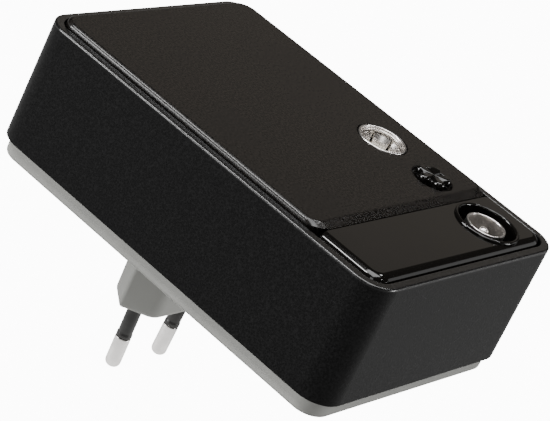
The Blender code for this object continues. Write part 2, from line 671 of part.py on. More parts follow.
def transformer(iron, white, copper):
    """Small mains transformer: shell core, bobbin on the middle leg and its winding."""
    at = (0.0, CASE_CENTRE_Y + INNER_Y - CORE_FROM_WALL - CORE_LENGTH / 2)
    leg = CORE_LEG / 2
    stack = CORE_STACK / 2
    flange = (ROOM - BOBBIN_CLEARANCE) / 2
    z = UNDER_BOARD - flange
    core = prism("transformer_core", box_outline(CORE_WIDTH / 2, CORE_LENGTH / 2), z - stack, z + stack, iron,
                 at)
    for side in (-1, 1):
        hole = prism("core_window", box_outline(CORE_WINDOW / 2, CORE_WINDOW_LENGTH / 2), z - CORE_STACK,
                     z + CORE_STACK, None, (side * (leg + CORE_WINDOW / 2), at[1]))
        cut(core, hole)

    def wound(name, profile, material):
        """Carry (reach in x, reach in z, place along the leg) points round the middle leg as one ring."""
        rings = [(box_outline(reach_x, reach_z), along) for reach_x, reach_z, along in profile]
        piece = skin(name, rings, material, closed=True)
        piece.rotation_euler.x = math.radians(90)
        piece.location = (at[0] * MM, at[1] * MM, z * MM)

    bore = (leg + GAP, stack + GAP)
    spool = (bore[0] + BOBBIN_TUBE, bore[1] + BOBBIN_TUBE)
    rim = (leg + CORE_WINDOW - GAP, flange)
    half = CORE_WINDOW_LENGTH / 2 - GAP
    inside = half - BOBBIN_FLANGE
    wound("transformer_bobbin", [
        (*bore, -half), (*rim, -half), (*rim, -inside), (*spool, -inside),
        (*spool, inside), (*rim, inside), (*rim, half), (*bore, half)], white)
    turns = inside - GAP
    under = (spool[0] + GAP, spool[1] + GAP)
    over = (rim[0] - WINDING_BELOW, rim[1] - WINDING_BELOW)
    wound("transformer_winding", [(*under, -turns), (*over, -turns), (*over, turns), (*under, turns)], copper)


def board_parts(black, sleeve_blue, steel):
    """Parts of the supply that hang from the back of the board, in a column between the plug and the can."""
    top = UNDER_BOARD
    wall = -INNER_X
    bead = top - CAPACITOR_BEAD * 3
    low = COVER_INSIDE + CAPACITOR_CLEARANCE
    turned("smoothing_capacitor", [
        (CAPACITOR_RADIUS - PART_EDGE, low), (CAPACITOR_RADIUS, low + PART_EDGE),
        (CAPACITOR_RADIUS, bead - CAPACITOR_BEAD), (CAPACITOR_RADIUS - CAPACITOR_BEAD, bead),
        (CAPACITOR_RADIUS, bead + CAPACITOR_BEAD), (CAPACITOR_RADIUS, top)], sleeve_blue,
        (wall + CAPACITOR_FROM_WALL, CASE_CENTRE_Y - CAPACITOR_FROM_CENTRE), COARSE)
    prism("bridge_rectifier", rounded_rect(RECTIFIER_WIDTH / 2, RECTIFIER_LENGTH / 2, 2 * PART_EDGE),
          top - RECTIFIER_HEIGHT, top, black,
          (wall + RECTIFIER_FROM_WALL, CASE_CENTRE_Y - RECTIFIER_FROM_CENTRE))
    turned("thermal_fuse", [(FUSE_RADIUS - PART_EDGE, top - FUSE_HEIGHT),
                            (FUSE_RADIUS, top - FUSE_HEIGHT + PART_EDGE), (FUSE_RADIUS, top)], black,
           (wall + FUSE_FROM_WALL, CASE_CENTRE_Y - FUSE_FROM_CENTRE), COARSE)
    regulator = (wall + REGULATOR_FROM_WALL, CASE_CENTRE_Y - REGULATOR_FROM_CENTRE)
    body = prism("voltage_regulator", box_outline(REGULATOR_WIDTH / 2, REGULATOR_THICKNESS / 2),
                 top - REGULATOR_HEIGHT, top, steel, regulator)
    back = regulator[1] + (REGULATOR_THICKNESS - REGULATOR_TAB - SOCKET_EDGE) / 2
    add(body, prism("tab", box_outline(REGULATOR_WIDTH / 2, REGULATOR_TAB / 2),
                    COVER_INSIDE + REGULATOR_CLEARANCE, top - 1, None, (regulator[0], back)))


def smooth_round_faces():
    """Shade round faces smooth and keep the true edges sharp."""
    for piece in bpy.data.objects:
        if piece.type == "MESH":
            piece.data.shade_smooth()
            piece.data.set_sharp_from_angle(angle=math.radians(32))


def main():
    clear_scene()
    grained = finish("grained black plastic", (0.012, 0.012, 0.013), 0.55)
    satin = finish("satin black plastic", (0.016, 0.014, 0.013), 0.38)
    gloss = finish("gloss black plastic", (0.008, 0.008, 0.008), 0.08)
    grey = finish("light grey plastic", (0.46, 0.46, 0.43), 0.5)
    plated = finish("nickel plate", (0.72, 0.70, 0.67), 0.18, 1.0)
    black = finish("black insulation", (0.02, 0.02, 0.02), 0.5)
    white = finish("white insulator", (0.62, 0.62, 0.58), 0.45)
    green = finish("green board", (0.03, 0.16, 0.07), 0.45)
    steel = finish("steel", (0.45, 0.45, 0.46), 0.35, 1.0)
    copper = finish("enamelled copper", (0.55, 0.24, 0.10), 0.35, 1.0)
    blue = finish("blue insulation", (0.03, 0.10, 0.36), 0.45)
    brown = finish("brown insulation", (0.16, 0.07, 0.03), 0.45)

    front_casing(grained)
    main_fascia(satin)
    lower_fascia(gloss)
    rear_cover(grey)
    case_screws(steel)
    plug_pins(plated, black)
    mains_leads(brown, blue)
    female_socket(plated, white)
    male_socket(plated, white)
    gain_control(gloss, plated, green)
    circuit_board(green)
    shield_can(steel)
    transformer(steel, white, copper)
    board_parts(black, blue, steel)
    smooth_round_faces()


main()
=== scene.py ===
"""Looks of the plug-in aerial signal amplifier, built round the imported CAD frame.

Lengths are in millimetres until a mesh is made. Places come from the frame's boxes, and the sizes below
are the edges, radii and wall depths that a box can't give. The front faces +Z, the pins point to -Z and the
socket end lies towards -Y.
"""
import math

import bmesh
import bpy
import numpy as np
from mathutils import Matrix, Vector
from mathutils.geometry import delaunay_2d_cdt


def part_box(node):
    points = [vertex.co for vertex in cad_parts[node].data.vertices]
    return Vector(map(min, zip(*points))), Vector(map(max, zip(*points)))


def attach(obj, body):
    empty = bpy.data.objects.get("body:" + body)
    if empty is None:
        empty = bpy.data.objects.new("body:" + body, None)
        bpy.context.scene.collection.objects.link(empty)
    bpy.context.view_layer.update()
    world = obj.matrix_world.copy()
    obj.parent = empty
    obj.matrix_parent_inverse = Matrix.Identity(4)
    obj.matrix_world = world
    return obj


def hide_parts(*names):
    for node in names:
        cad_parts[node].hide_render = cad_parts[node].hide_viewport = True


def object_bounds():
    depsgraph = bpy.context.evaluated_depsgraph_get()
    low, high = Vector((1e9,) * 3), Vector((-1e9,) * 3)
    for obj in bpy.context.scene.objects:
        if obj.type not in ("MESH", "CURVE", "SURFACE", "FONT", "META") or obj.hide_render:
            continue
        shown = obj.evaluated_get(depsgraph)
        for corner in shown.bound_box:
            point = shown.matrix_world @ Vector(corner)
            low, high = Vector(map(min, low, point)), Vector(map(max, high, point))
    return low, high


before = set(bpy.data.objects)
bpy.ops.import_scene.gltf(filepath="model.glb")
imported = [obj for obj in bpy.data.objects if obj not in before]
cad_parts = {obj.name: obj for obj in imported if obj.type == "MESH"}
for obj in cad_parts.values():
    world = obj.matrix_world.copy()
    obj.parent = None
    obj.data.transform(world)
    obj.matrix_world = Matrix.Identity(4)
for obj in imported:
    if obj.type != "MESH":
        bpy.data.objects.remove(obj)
cad_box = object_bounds()

MM = 0.001
GAP = 0.3               # clearance between seated pieces
HOLD = 0.12             # distance of the rows that keep flat faces flat beside a rounded edge
LONG = 6 * HOLD         # a profile's straights above this length get such rows
MERGE = 2e-6            # points nearer than this, in metres, are one
SLIVER = 1e-7           # edges shorter than this, in metres, are closed up
PLAN_MERGE = 1e-6       # points in plan nearer than this, in millimetres, are one
TINY = 1e-9             # what counts as zero
INSIDE_ONLY = 1         # triangulate only what lies within the outlines

# Case
DRAFT = 0.3
RIM_WIDTH = 2.3
RIM_EDGE = 0.5
RIM_INNER_EDGE = 0.25
RUB_LOW = 0.8           # depth below the rim where rubbing begins
RUB_HIGH = 0.3          # depth below the rim where it is full
CASE_CORNER = 7.0
CASE_FOOT_EDGE = 0.35
LEDGE_WIDTH = 1.0
LEDGE_THICKNESS = 1.6
SEAT_DEPTH = 2.6

# Front plates
PLATE_CORNER = 4.4
MAIN_EDGE = 1.1
LOWER_EDGE = 2.2
LOWER_FAR_CORNER = 0.8
STEP_RUN = 2.4
STEP_ROUND = 0.4
STEP_STRAIGHT = 0.97    # share of the slope that its rows cover below the bend at its crest
HOLE_EDGE = 0.2
DISH_RADIUS = 5.2
DISH_DEPTH = 1.3
DISH_FILLET = 0.5
WELL_RADIUS = 7.3
WELL_DEPTH = 5.0
WELL_WALL = 0.6
COLLAR_WIDTH = 0.9
COLLAR_FLAT = 0.1       # flat left on the collar's top
COLLAR_PROUD = 0.6
CUT_PAST = 2.0          # how far a cutter runs past what it cuts

# Rear cover
COVER_BACK = 23.2       # the plug's height, from its face to the cover
COVER_BAND = 4.2
COVER_FLOOR = 2.0
COVER_EDGE = 1.0
COVER_CORNER = 5.8
SPIGOT_INSET = 1.5
SPIGOT_WALL = 1.6
SPIGOT_HEIGHT = 2.6
COUNTERBORE = 3.6
PLUG_LENGTH = 34.2
PLUG_THICKNESS = 14.4
PLUG_FACET = 50.0       # slope of the end facets in degrees
PLUG_NOSE = 0.9
PLUG_CORNER = 4.5
PLUG_LEAST_CORNER = 0.4
PLUG_DRAFT = 0.6
PLUG_EDGE = 1.5
PLUG_ROOT = 0.8
PLUG_WALL = 2.0
PLUG_FACE_WALL = 3.0

# Pins
PIN_SPACING = 19.0
PIN_TIP_SPACING = 17.4
PIN_LENGTH = 19.3
PIN_TILT = math.atan((PIN_SPACING - PIN_TIP_SPACING) / 2 / PIN_LENGTH)
PIN_RADIUS = 2.0
PIN_EDGE = 1.6
PIN_SHOULDER = 0.2
PIN_NECK = 1.2
PIN_ROOT = 5.0          # length of the pin in the plug's hollow
SLEEVE_LENGTH = 10.0
SLEEVE_RADIUS = 1.85
SLEEVE_BORE = 1.5
SLEEVE_EDGE = 0.15
SLEEVE_COLLAR = 0.75    # length of the full collar at the sleeve's lower end
SLEEVE_TAPER = 0.55     # length over which the collar falls to the sleeve
TAPER_EASE = 0.15       # length of the soft bend at either end of the taper
TAPER_DROP = 0.04       # what the radius loses over such a bend

# Sockets
SOCKET_FLANGE = 1.5
SOCKET_WEB = 3.0
FEMALE_RADIUS = 6.25
FEMALE_WALL = 0.7
FEMALE_THROUGH = 2.6    # radius of the hole through the shell's web
FEMALE_BEAD = 0.3       # radius of the bead round the female shell's mouth
INNER_BEAD = 0.18       # radius of the finer bead inside it
LIP_GROOVE = 0.09       # width of the groove between the two
LIP_GROOVE_DEPTH = 1.5 * INNER_BEAD     # below the inner bead's crest
LIP_STEP = 0.55         # how far the inner bead lies below the outer one
SPRING_WALL = 0.45
SPRING_THINNING = 0.4   # share of the wall that a leaf's tip loses
SPRING_BASE = 0.25      # share of the sleeve below its slots
SPRING_BOW = 0.4
SPRING_NECK_AT = 0.66   # share of a leaf below its neck
SPRING_FLARE = 0.75
SPRING_FLARE_POWER = 1.2
SPRING_SLOT = 1.0
SPRING_BELOW = 1.6      # depth of the leaves' tips in the barrel
SPRING_LEAVES = 6
FEMALE_DISC_BORE = 2.0
POST_WALL = 1.1         # plastic round the centre contacts
POST_PROUD = 0.1        # how far it stands above the female contact
DISC_EDGE = 0.25
CONTACT_BORE = 1.2
CONTACT_SLOT = 0.6
CONTACT_PRONGS = 2
CONTACT_SPLIT = 2.8     # length of the prongs
CONTACT_FLARE = 0.12
MALE_RADIUS = 5.0
MALE_WALL = 0.55
MALE_THROUGH = 2.1
MALE_LIP = 0.22         # rounding of the male shell's mouth
MALE_DISC_BORE = 1.5
MALE_POST = 0.5         # height of the post above the male insulator
MALE_NOSE = 1.0         # length of the male pin's rounded end

# Knob
KNOB_RADIUS = 4.45
KNOB_LOBES = 5
KNOB_FLUTE = 1.5
KNOB_FLUTE_POWER = 1.6  # above 1 the flutes are narrower than the lobes
KNOB_PHASE = 138.0      # direction of one flute in degrees
KNOB_FOOT_EDGE = 0.15
KNOB_EDGE = 0.75
KNOB_CROWN = 0.97       # share of the top's radius where the hollow begins
KNOB_HOLLOW = 0.25
KNOB_GROOVE = 0.7       # depth of the flutes' run into the top
KNOB_GROOVE_POWER = 2.5
KNOB_GROOVE_FADE = 0.7
KNOB_STEM = 2.5
SHAFT_BORE = 1.8

# Screws
SCREW_RADIUS = 1.3
SCREW_HOLE = 1.6
PILLAR_RADIUS = 3.2
SCREW_EDGE = 0.4
SCREW_SOFT = 0.3        # share of the edge where its bend lies
CROSS_DEPTH = 1.0
CROSS_WIDTH = 0.38
CROSS_LENGTH = 1.35
CROSS_EASE = 0.1        # run of the recess's side walls
CROSS_END_EASE = 0.25   # run of its end walls


def limits(node):
    """Lowest and highest corner of a CAD node, in millimetres."""
    low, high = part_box(node)
    return np.array(low) / MM, np.array(high) / MM


def middle(node):
    """Centre of a CAD node in plan, in millimetres."""
    low, high = limits(node)
    return ((low + high) / 2)[:2]


# Planes and places read from the frame
casing_low, casing_high = limits("front_casing")
main_low, main_high = limits("main_fascia")
lower_low, lower_high = limits("lower_fascia")
HALF_X = casing_high[0] - DRAFT
HALF_Y = (casing_high[1] - casing_low[1]) / 2 - DRAFT
CASE_AT = middle("front_casing")
CASE_LOW = casing_low[2]
RIM = casing_high[2]
LEDGE = RIM - SEAT_DEPTH
PLATE_LOW = main_low[2]
MAIN_TOP = main_high[2]
LOWER_TOP = lower_high[2] - COLLAR_PROUD
FEMALE_AT = middle("female_socket_shell")
MALE_AT = middle("male_socket_shell")
KNOB_AT = middle("gain_shaft")
SCREWS = [f"case_screw_{n}" for n in range(1, 5)]
COVER_INSIDE = COVER_BACK + COVER_FLOOR
UNDER_BOARD = limits("circuit_board")[0][2] - GAP
ON_BOARD = limits("circuit_board")[1][2] + GAP


# Outlines and profiles

def rounded_outline(half_x, half_y, radius, centre, steps=14):
    """Points and outward normals round a rectangle: each corner is its hub plus its radius times
    (cos a, sin a) while a turns 90 degrees, with one more point along the straight side at either end.
    Four radii may be given, anticlockwise from the far right corner."""
    sides = np.array([(1, 1), (-1, 1), (-1, -1), (1, -1)], float)
    radii = np.broadcast_to(radius, 4)[:, None]
    turn = np.concatenate([[0], np.linspace(0, np.pi / 2, steps + 1), [np.pi / 2]])
    lead = np.concatenate([[-2 * HOLD], np.zeros(steps + 1), [2 * HOLD]])
    angle = np.arange(4)[:, None] * np.pi / 2 + turn
    normal = np.stack([np.cos(angle), np.sin(angle)], -1)
    along = np.stack([-np.sin(angle), np.cos(angle)], -1) * lead[:, None]
    hub = sides * (np.array([half_x, half_y]) - radii) + np.asarray(centre)
    points = hub[:, None] + radii[:, None] * normal + along
    return points.reshape(-1, 2), normal.reshape(-1, 2)


def hexagon_outline(half_x, half_y, facet, radii, steps=10):
    """Points and outward normals round a flat hexagon whose end facets slope by an angle: each corner is a
    hub set back along its bisector, plus its radius times (cos a, sin a) over the angle that the side
    turns."""
    slope = math.radians(facet)
    flat = half_x - half_y / math.tan(slope)
    corners = np.array([(half_x, 0), (flat, half_y), (-flat, half_y),
                        (-half_x, 0), (-flat, -half_y), (flat, -half_y)])
    turns = np.array([np.pi - 2 * slope, slope, slope] * 2)
    starts = np.cumsum(turns) - turns - turns[0] / 2
    bisector = starts + turns / 2
    outward = np.stack([np.cos(bisector), np.sin(bisector)], -1)
    hub = corners - (radii / np.cos(turns / 2))[:, None] * outward
    share = np.concatenate([[0], np.linspace(0, 1, steps + 1), [1]])
    lead = np.concatenate([[-HOLD], np.zeros(steps + 1), [HOLD]])
    angle = starts[:, None] + turns[:, None] * share
    normal = np.stack([np.cos(angle), np.sin(angle)], -1)
    along = np.stack([-np.sin(angle), np.cos(angle)], -1) * lead[:, None]
    points = hub[:, None] + radii[:, None, None] * normal + along
    return points.reshape(-1, 2), normal.reshape(-1, 2)


def circle_outline(at, count=96):
    """A point repeated with normals all round it, so that a profile's offset becomes a radius."""
    angle = np.arange(count) * 2 * np.pi / count
    normals = np.stack([np.cos(angle), np.sin(angle)], -1)
    return np.broadcast_to(np.asarray(at, float), (count, 2)), normals


def arc(offset, height, radius, start, end, steps=7):
    """Profile points on an arc: the centre plus the radius times (cos a, sin a), with a in degrees from
    start to end."""
    angle = np.radians(np.linspace(start, end, steps))
    return np.stack([offset + radius * np.cos(angle), height + radius * np.sin(angle)], -1)


def profile(*parts):
    """Join points and arcs into one profile, and put a holding point near both ends of each long
    straight."""
    points = np.concatenate([np.atleast_2d(np.asarray(part, float)) for part in parts])
    step = np.diff(points, axis=0)
    length = np.hypot(*step.T)
    unit = step / np.maximum(length, TINY)[:, None]
    long = length > LONG
    near = np.where(long[:, None], points[:-1] + HOLD * unit, np.nan)
    far = np.where(long[:, None], points[1:] - HOLD * unit, np.nan)
    rows = np.concatenate([np.stack([points[:-1], near, far], 1).reshape(-1, 2), points[-1:]])
    return rows[~np.isnan(rows[:, 0])]


def carried(outline, rows):
    """A profile carried round an outline: point plus offset times outward normal, at the profile's
    height."""
    points, normals = outline
    flat = points[None] + rows[:, None, :1] * normals[None]
    height = np.broadcast_to(rows[:, None, 1:], (*flat.shape[:2], 1))
    return np.concatenate([flat, height], -1)


def turned(at, rows, count=96):
    """A profile of (radius, height) turned about an upright axis."""
    return carried(circle_outline(at, count), rows)


def ring(at, radius, count=96):
    """A circle in plan."""
    points, normals = circle_outline(at, count)
    return points + radius * normals


def inside(points, loop):
    """True where a point lies in a loop: an odd number of the loop's edges cross the line to its right."""
    x, y = points[:, :1], points[:, 1:]
    a, b = loop, np.roll(loop, -1, axis=0)
    rise = np.where(a[:, 1] == b[:, 1], TINY, b[:, 1] - a[:, 1])
    meets = a[:, 0] + (b[:, 0] - a[:, 0]) * (y - a[:, 1]) / rise
    return (((a[:, 1] > y) != (b[:, 1] > y)) & (x < meets)).sum(1) % 2 == 1


class Skin:
    """A surface gathered from grids of points and level faces, which are merged where their edges meet."""

    def __init__(self):
        self.points = []
        self.faces = []
        self.smooth = []
        self.count = 0

    def take(self, points, faces, smooth=True):
        """Add points, and faces that count from the first of them."""
        self.points.append(points.reshape(-1, 3))
        self.faces += (faces + self.count).tolist()
        self.smooth += [smooth] * len(faces)
        self.count += len(self.points[-1])

    def grid(self, points, around=True, loop=False):
        """Quads between neighbours of a grid: its last column joins the first when the grid goes round, and
        its last row joins the first when the profile is a loop."""
        rows, columns = points.shape[:2]
        index = np.arange(rows * columns).reshape(rows, columns)
        if loop:
            index = np.concatenate([index, index[:1]])
        if around:
            index = np.concatenate([index, index[:, :1]], 1)
        quads = np.stack([index[:-1, :-1], index[:-1, 1:], index[1:, 1:], index[1:, :-1]], -1)
        self.take(points, quads.reshape(-1, 4))
        return points

    def level(self, height, outer, *holes):
        """A level face inside an outline and outside its holes: triangles between the outlines' points, kept
        where their middle is in the outer outline and in no hole."""
        loops = [outer, *holes]
        starts = np.cumsum([0] + [len(loop) for loop in loops])
        edges = [np.stack([s + np.arange(len(loop)), s + (np.arange(len(loop)) + 1) % len(loop)], -1)
                 for s, loop in zip(starts, loops)]
        found = delaunay_2d_cdt(np.concatenate(loops).tolist(), np.concatenate(edges).tolist(), [],
                                INSIDE_ONLY, PLAN_MERGE)
        flat = np.array([tuple(p) for p in found[0]])
        faces = np.array(found[2])
        centre = flat[faces].mean(1)
        keep = inside(centre, outer)
        for hole in holes:
            keep &= ~inside(centre, hole)
        self.take(np.column_stack([flat, np.full(len(flat), height)]), faces[keep], smooth=False)

    def mesh(self, name):
        """One mesh in metres, merged, with every closed shell facing outwards."""
        mesh = bpy.data.meshes.new(name)
        mesh.from_pydata((np.concatenate(self.points) * MM).tolist(), [], self.faces)
        mesh.polygons.foreach_set("use_smooth", self.smooth)
        bm = bmesh.new()
        bm.from_mesh(mesh)
        bmesh.ops.remove_doubles(bm, verts=bm.verts, dist=MERGE)
        bmesh.ops.dissolve_degenerate(bm, edges=bm.edges, dist=SLIVER)
        bmesh.ops.recalc_face_normals(bm, faces=bm.faces)
        bm.to_mesh(mesh)
        bm.free()
        return mesh


def closed(points, name, loop=False):
    """The mesh of one grid that closes on itself."""
    skin = Skin()
    skin.grid(points, loop=loop)
    return skin.mesh(name)


def place(name, mesh, finish, body="case", sharp=32):
    """Make a mesh the piece that stands for the CAD node of the same name. Level faces stay flat, so that a
    large one mirrors as one plane."""
    mesh.materials.clear()
    mesh.materials.append(finish)
    smooth = np.empty(len(mesh.polygons), bool)
    mesh.polygons.foreach_get("use_smooth", smooth)
    mesh.set_sharp_from_angle(angle=math.radians(sharp))
    mesh.polygons.foreach_set("use_smooth", smooth)
    piece = bpy.data.objects.new(name + "_skin", mesh)
    bpy.context.scene.collection.objects.link(piece)
    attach(piece, body)
    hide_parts(name)


def joined(first, *steps):
    """A mesh after Booleans: each step gives an operation and the mesh that it joins or cuts."""
    target = bpy.data.objects.new("joined", first)
    bpy.context.scene.collection.objects.link(target)
    for operation, mesh in steps:
        tool = bpy.data.objects.new("tool", mesh)
        bpy.context.scene.collection.objects.link(tool)
        modifier = target.modifiers.new(operation, "BOOLEAN")
        modifier.operation = operation
        modifier.object = tool
        bpy.context.view_layer.update()
        graph = bpy.context.evaluated_depsgraph_get()
        result = bpy.data.meshes.new_from_object(target.evaluated_get(graph))
        target.modifiers.clear()
        target.data = result
        bpy.data.objects.remove(tool)
    bpy.data.objects.remove(target)
    return result


# Materials

class Value:
    """One value in a material: sums and products with values or numbers add Math nodes."""

    def __init__(self, finish, socket):
        self.finish = finish
        self.socket = socket

    def math(self, operation, first, second):
        """A Math node on two values or numbers."""
        return self.finish.node("ShaderNodeMath", {"operation": operation}, {0: first, 1: second})

    def __add__(self, other):
        return self.math("ADD", self, other)

    def __radd__(self, other):
        return self.math("ADD", other, self)

    def __sub__(self, other):
        return self.math("SUBTRACT", self, other)

    def __rsub__(self, other):
        return self.math("SUBTRACT", other, self)

    def __mul__(self, other):
        return self.math("MULTIPLY", self, other)

    def __rmul__(self, other):
        return self.math("MULTIPLY", other, self)


class Finish:
    """One material: fixed values set on its shader, and one way to add any node."""

    def __init__(self, name, fixed):
        self.material = bpy.data.materials.new(name)
        self.material.use_nodes = True
        self.tree = self.material.node_tree
        self.shader = self.tree.nodes["Principled BSDF"]
        for key, value in fixed.items():
            self.shader.inputs[key].default_value = value
        self.place = self.node("ShaderNodeTexCoord", output="Object")

    def node(self, kind, settings=None, inputs=None, output=0):
        """Add a node: settings first, a ramp's stops among them, then the values or links of its sockets."""
        made = self.tree.nodes.new(kind)
        for key, value in (settings or {}).items():
            if key == "stops":
                for element, (position, colour) in zip(self.stops(made, len(value)), value):
                    element.position = position
                    element.color = colour
            else:
                setattr(made, key, value)
        for key, value in (inputs or {}).items():
            if isinstance(value, Value):
                self.tree.links.new(value.socket, made.inputs[key])
            else:
                made.inputs[key].default_value = value
        return Value(self, made.outputs[output])

    def stops(self, ramp, count):
        """The ramp's elements, as many as are asked for."""
        elements = ramp.color_ramp.elements
        while len(elements) < count:
            elements.new(0.5)
        return elements

    def feed(self, socket, value):
        """Link a value to one of the shader's sockets."""
        self.tree.links.new(value.socket, self.shader.inputs[socket])

    def noise(self, size, detail=2.0, stretch=None):
        """Noise whose lumps measure about size millimetres, drawn out by the stretch along X, Y and Z."""
        where = self.place
        if stretch:
            where = self.node("ShaderNodeMapping", {},
                              {"Vector": where, "Scale": [1 / s for s in stretch]})
        return self.node("ShaderNodeTexNoise", {},
                         {"Vector": where, "Scale": 1 / (size * MM), "Detail": detail})

    def cells(self, size):
        """Distance to the middle of round cells of about size millimetres."""
        return self.node("ShaderNodeTexVoronoi", {"feature": "SMOOTH_F1"},
                         {"Vector": self.place, "Scale": 1 / (size * MM), "Smoothness": 0.6})

    def ramp(self, value, *stops):
        """Colours along a value: stops are (position, grey level or colour)."""
        full = [(p, (c, c, c, 1.0) if isinstance(c, float) else (*c, 1.0)) for p, c in stops]
        return self.node("ShaderNodeValToRGB", {"stops": full}, {"Fac": value})

    def bump(self, height, depth, strength=1.0):
        """A Bump of the given depth in millimetres on the shader's Normal."""
        normal = self.node("ShaderNodeBump", {},
                           {"Height": height, "Distance": depth * MM, "Strength": strength})
        self.feed("Normal", normal)


def grained_black():
    """Spark-eroded black plastic: round grains with finer noise, shinier on their tops and along the rubbed
    rim."""
    f = Finish("grained_black", {"IOR": 1.27, "Coat Roughness": 0.22})
    grain = 0.5 * f.cells(size=0.5) + 0.6 * f.noise(size=0.36, detail=3.0)
    f.feed("Base Color", f.ramp(grain, (0.4, (0.0002, 0.0002, 0.0003)), (0.85, (0.011, 0.0109, 0.0112))))
    height = f.node("ShaderNodeSeparateXYZ", {}, {"Vector": f.place}, "Z")
    rub = f.node("ShaderNodeMapRange", {}, {"Value": height, "From Min": (RIM - RUB_LOW) * MM,
                                            "From Max": (RIM - RUB_HIGH) * MM})
    f.feed("Coat Weight", rub)
    f.feed("Roughness", 0.42 - 0.2 * grain)
    f.bump(grain, depth=0.04)
    return f.material


def satin_black():
    """Satin brownish black plastic with a fine eroded surface and faint cloudiness from handling."""
    f = Finish("satin_black", {"IOR": 1.5})
    fine = f.noise(size=0.55, detail=4.0)
    cloud = f.noise(size=22.0, detail=3.0)
    f.feed("Base Color", f.ramp(fine, (0.36, (0.0003, 0.0002, 0.0002)), (0.72, (0.013, 0.0108, 0.009))))
    f.feed("Roughness", 0.2 + 0.08 * cloud + 0.08 * fine)
    f.bump(fine, depth=0.007, strength=0.8)
    return f.material


def gloss_black():
    """Polished black plastic: slightly uneven, with fine dust that dulls it in small spots."""
    f = Finish("gloss_black", {"IOR": 1.5})
    dust = f.ramp(f.noise(size=0.35, detail=4.0), (0.66, 0.0), (0.74, 1.0))
    f.feed("Base Color", f.ramp(dust, (0.0, (0.003, 0.0027, 0.0024)), (1.0, (0.012, 0.011, 0.01))))
    f.feed("Roughness", 0.07 + 0.16 * dust + 0.05 * f.noise(size=16.0))
    f.bump(f.noise(size=7.0, detail=1.0), depth=0.008, strength=0.5)
    return f.material


def light_grey():
    """Light grey moulded plastic with a fine matt texture and slight yellowing."""
    f = Finish("light_grey", {"IOR": 1.48})
    fine = f.noise(size=0.22, detail=3.0)
    cloud = f.noise(size=11.0, detail=3.0)
    f.feed("Base Color", f.ramp(cloud, (0.3, (0.31, 0.313, 0.296)), (0.75, (0.36, 0.36, 0.34))))
    f.feed("Roughness", 0.46 + 0.14 * fine)
    f.bump(fine, depth=0.02, strength=0.7)
    return f.material


def plated(name, colour, rough, depth):
    """Bright plating over turned metal: fine lines round the axis, cut to a depth, with duller patches."""
    f = Finish(name, {"Metallic": 1.0})
    lines = f.noise(size=0.14, stretch=(12.0, 12.0, 1.0))
    patch = f.noise(size=2.6, detail=3.0)
    dull = tuple(0.86 * c for c in colour)
    f.feed("Base Color", f.ramp(patch, (0.35, dull), (0.65, colour)))
    f.feed("Roughness", rough + 0.14 * lines + 0.08 * patch)
    f.bump(lines, depth)
    return f.material


def moulded(name, dark, light, rough, size=0.3):
    """Plain moulded or painted surface: two close colours in soft clouds over a fine texture."""
    f = Finish(name, {"IOR": 1.48})
    fine = f.noise(size, detail=3.0)
    cloud = f.noise(14 * size, detail=3.0)
    f.feed("Base Color", f.ramp(cloud, (0.35, dark), (0.7, light)))
    f.feed("Roughness", rough + 0.15 * fine)
    f.bump(fine, depth=0.02, strength=0.6)
    return f.material


def wound_copper():
    """Enamelled copper turns: bands a wire wide across the winding."""
    f = Finish("wound_copper", {"Metallic": 0.9})
    wave = f.node("ShaderNodeTexWave", {"bands_direction": "Y"},
                  {"Vector": f.place, "Scale": 700.0, "Distortion": 0.6})
    f.feed("Base Color", f.ramp(wave, (0.2, (0.28, 0.1, 0.03)), (0.8, (0.62, 0.27, 0.1))))
    f.feed("Roughness", 0.28 + 0.15 * f.noise(size=1.2))
    f.bump(wave, depth=0.05, strength=0.7)
    return f.material


GRAINED = grained_black()
SATIN = satin_black()
GLOSS = gloss_black()
GREY = light_grey()
NICKEL = plated("nickel_plate", (0.92, 0.885, 0.85), 0.19, 0.0012)
PIN_PLATE = plated("pin_plate", (1.0, 0.975, 0.96), 0.24, 0.008)
STEEL = plated("bright_steel", (0.52, 0.52, 0.53), 0.24, 0.004)
SLEEVE = moulded("sleeve_black", (0.016, 0.0155, 0.015), (0.03, 0.029, 0.028), 0.28, 0.2)
INSULATOR = moulded("pale_insulator", (0.68, 0.67, 0.61), (0.78, 0.77, 0.71), 0.38)
BOARD = moulded("green_board", (0.02, 0.11, 0.045), (0.035, 0.17, 0.07), 0.32, 0.6)
BLACK_PART = moulded("black_part", (0.012, 0.012, 0.013), (0.022, 0.022, 0.023), 0.4)
BLUE = moulded("blue_insulation", (0.02, 0.07, 0.26), (0.035, 0.11, 0.37), 0.36)
BROWN = moulded("brown_insulation", (0.11, 0.045, 0.02), (0.17, 0.075, 0.034), 0.36)
COPPER = wound_copper()


# Pieces

def front_casing():
    """One closed profile carried round the case: drafted wall, rounded rim, plate seat and inner wall."""
    outline = rounded_outline(HALF_X, HALF_Y, CASE_CORNER, CASE_AT)
    inner = -RIM_WIDTH
    rows = profile(
        arc(DRAFT - CASE_FOOT_EDGE, CASE_LOW + CASE_FOOT_EDGE, CASE_FOOT_EDGE, -90, 0),
        arc(-RIM_EDGE, RIM - RIM_EDGE, RIM_EDGE, 0, 90),
        arc(inner + RIM_INNER_EDGE, RIM - RIM_INNER_EDGE, RIM_INNER_EDGE, 90, 180, steps=5),
        [(inner, LEDGE), (inner - LEDGE_WIDTH, LEDGE), (inner - LEDGE_WIDTH, LEDGE - LEDGE_THICKNESS),
         (inner, LEDGE - LEDGE_THICKNESS), (inner, CASE_LOW)])
    mesh = closed(carried(outline, rows), "front_casing", loop=True)
    place("front_casing", mesh, GRAINED)


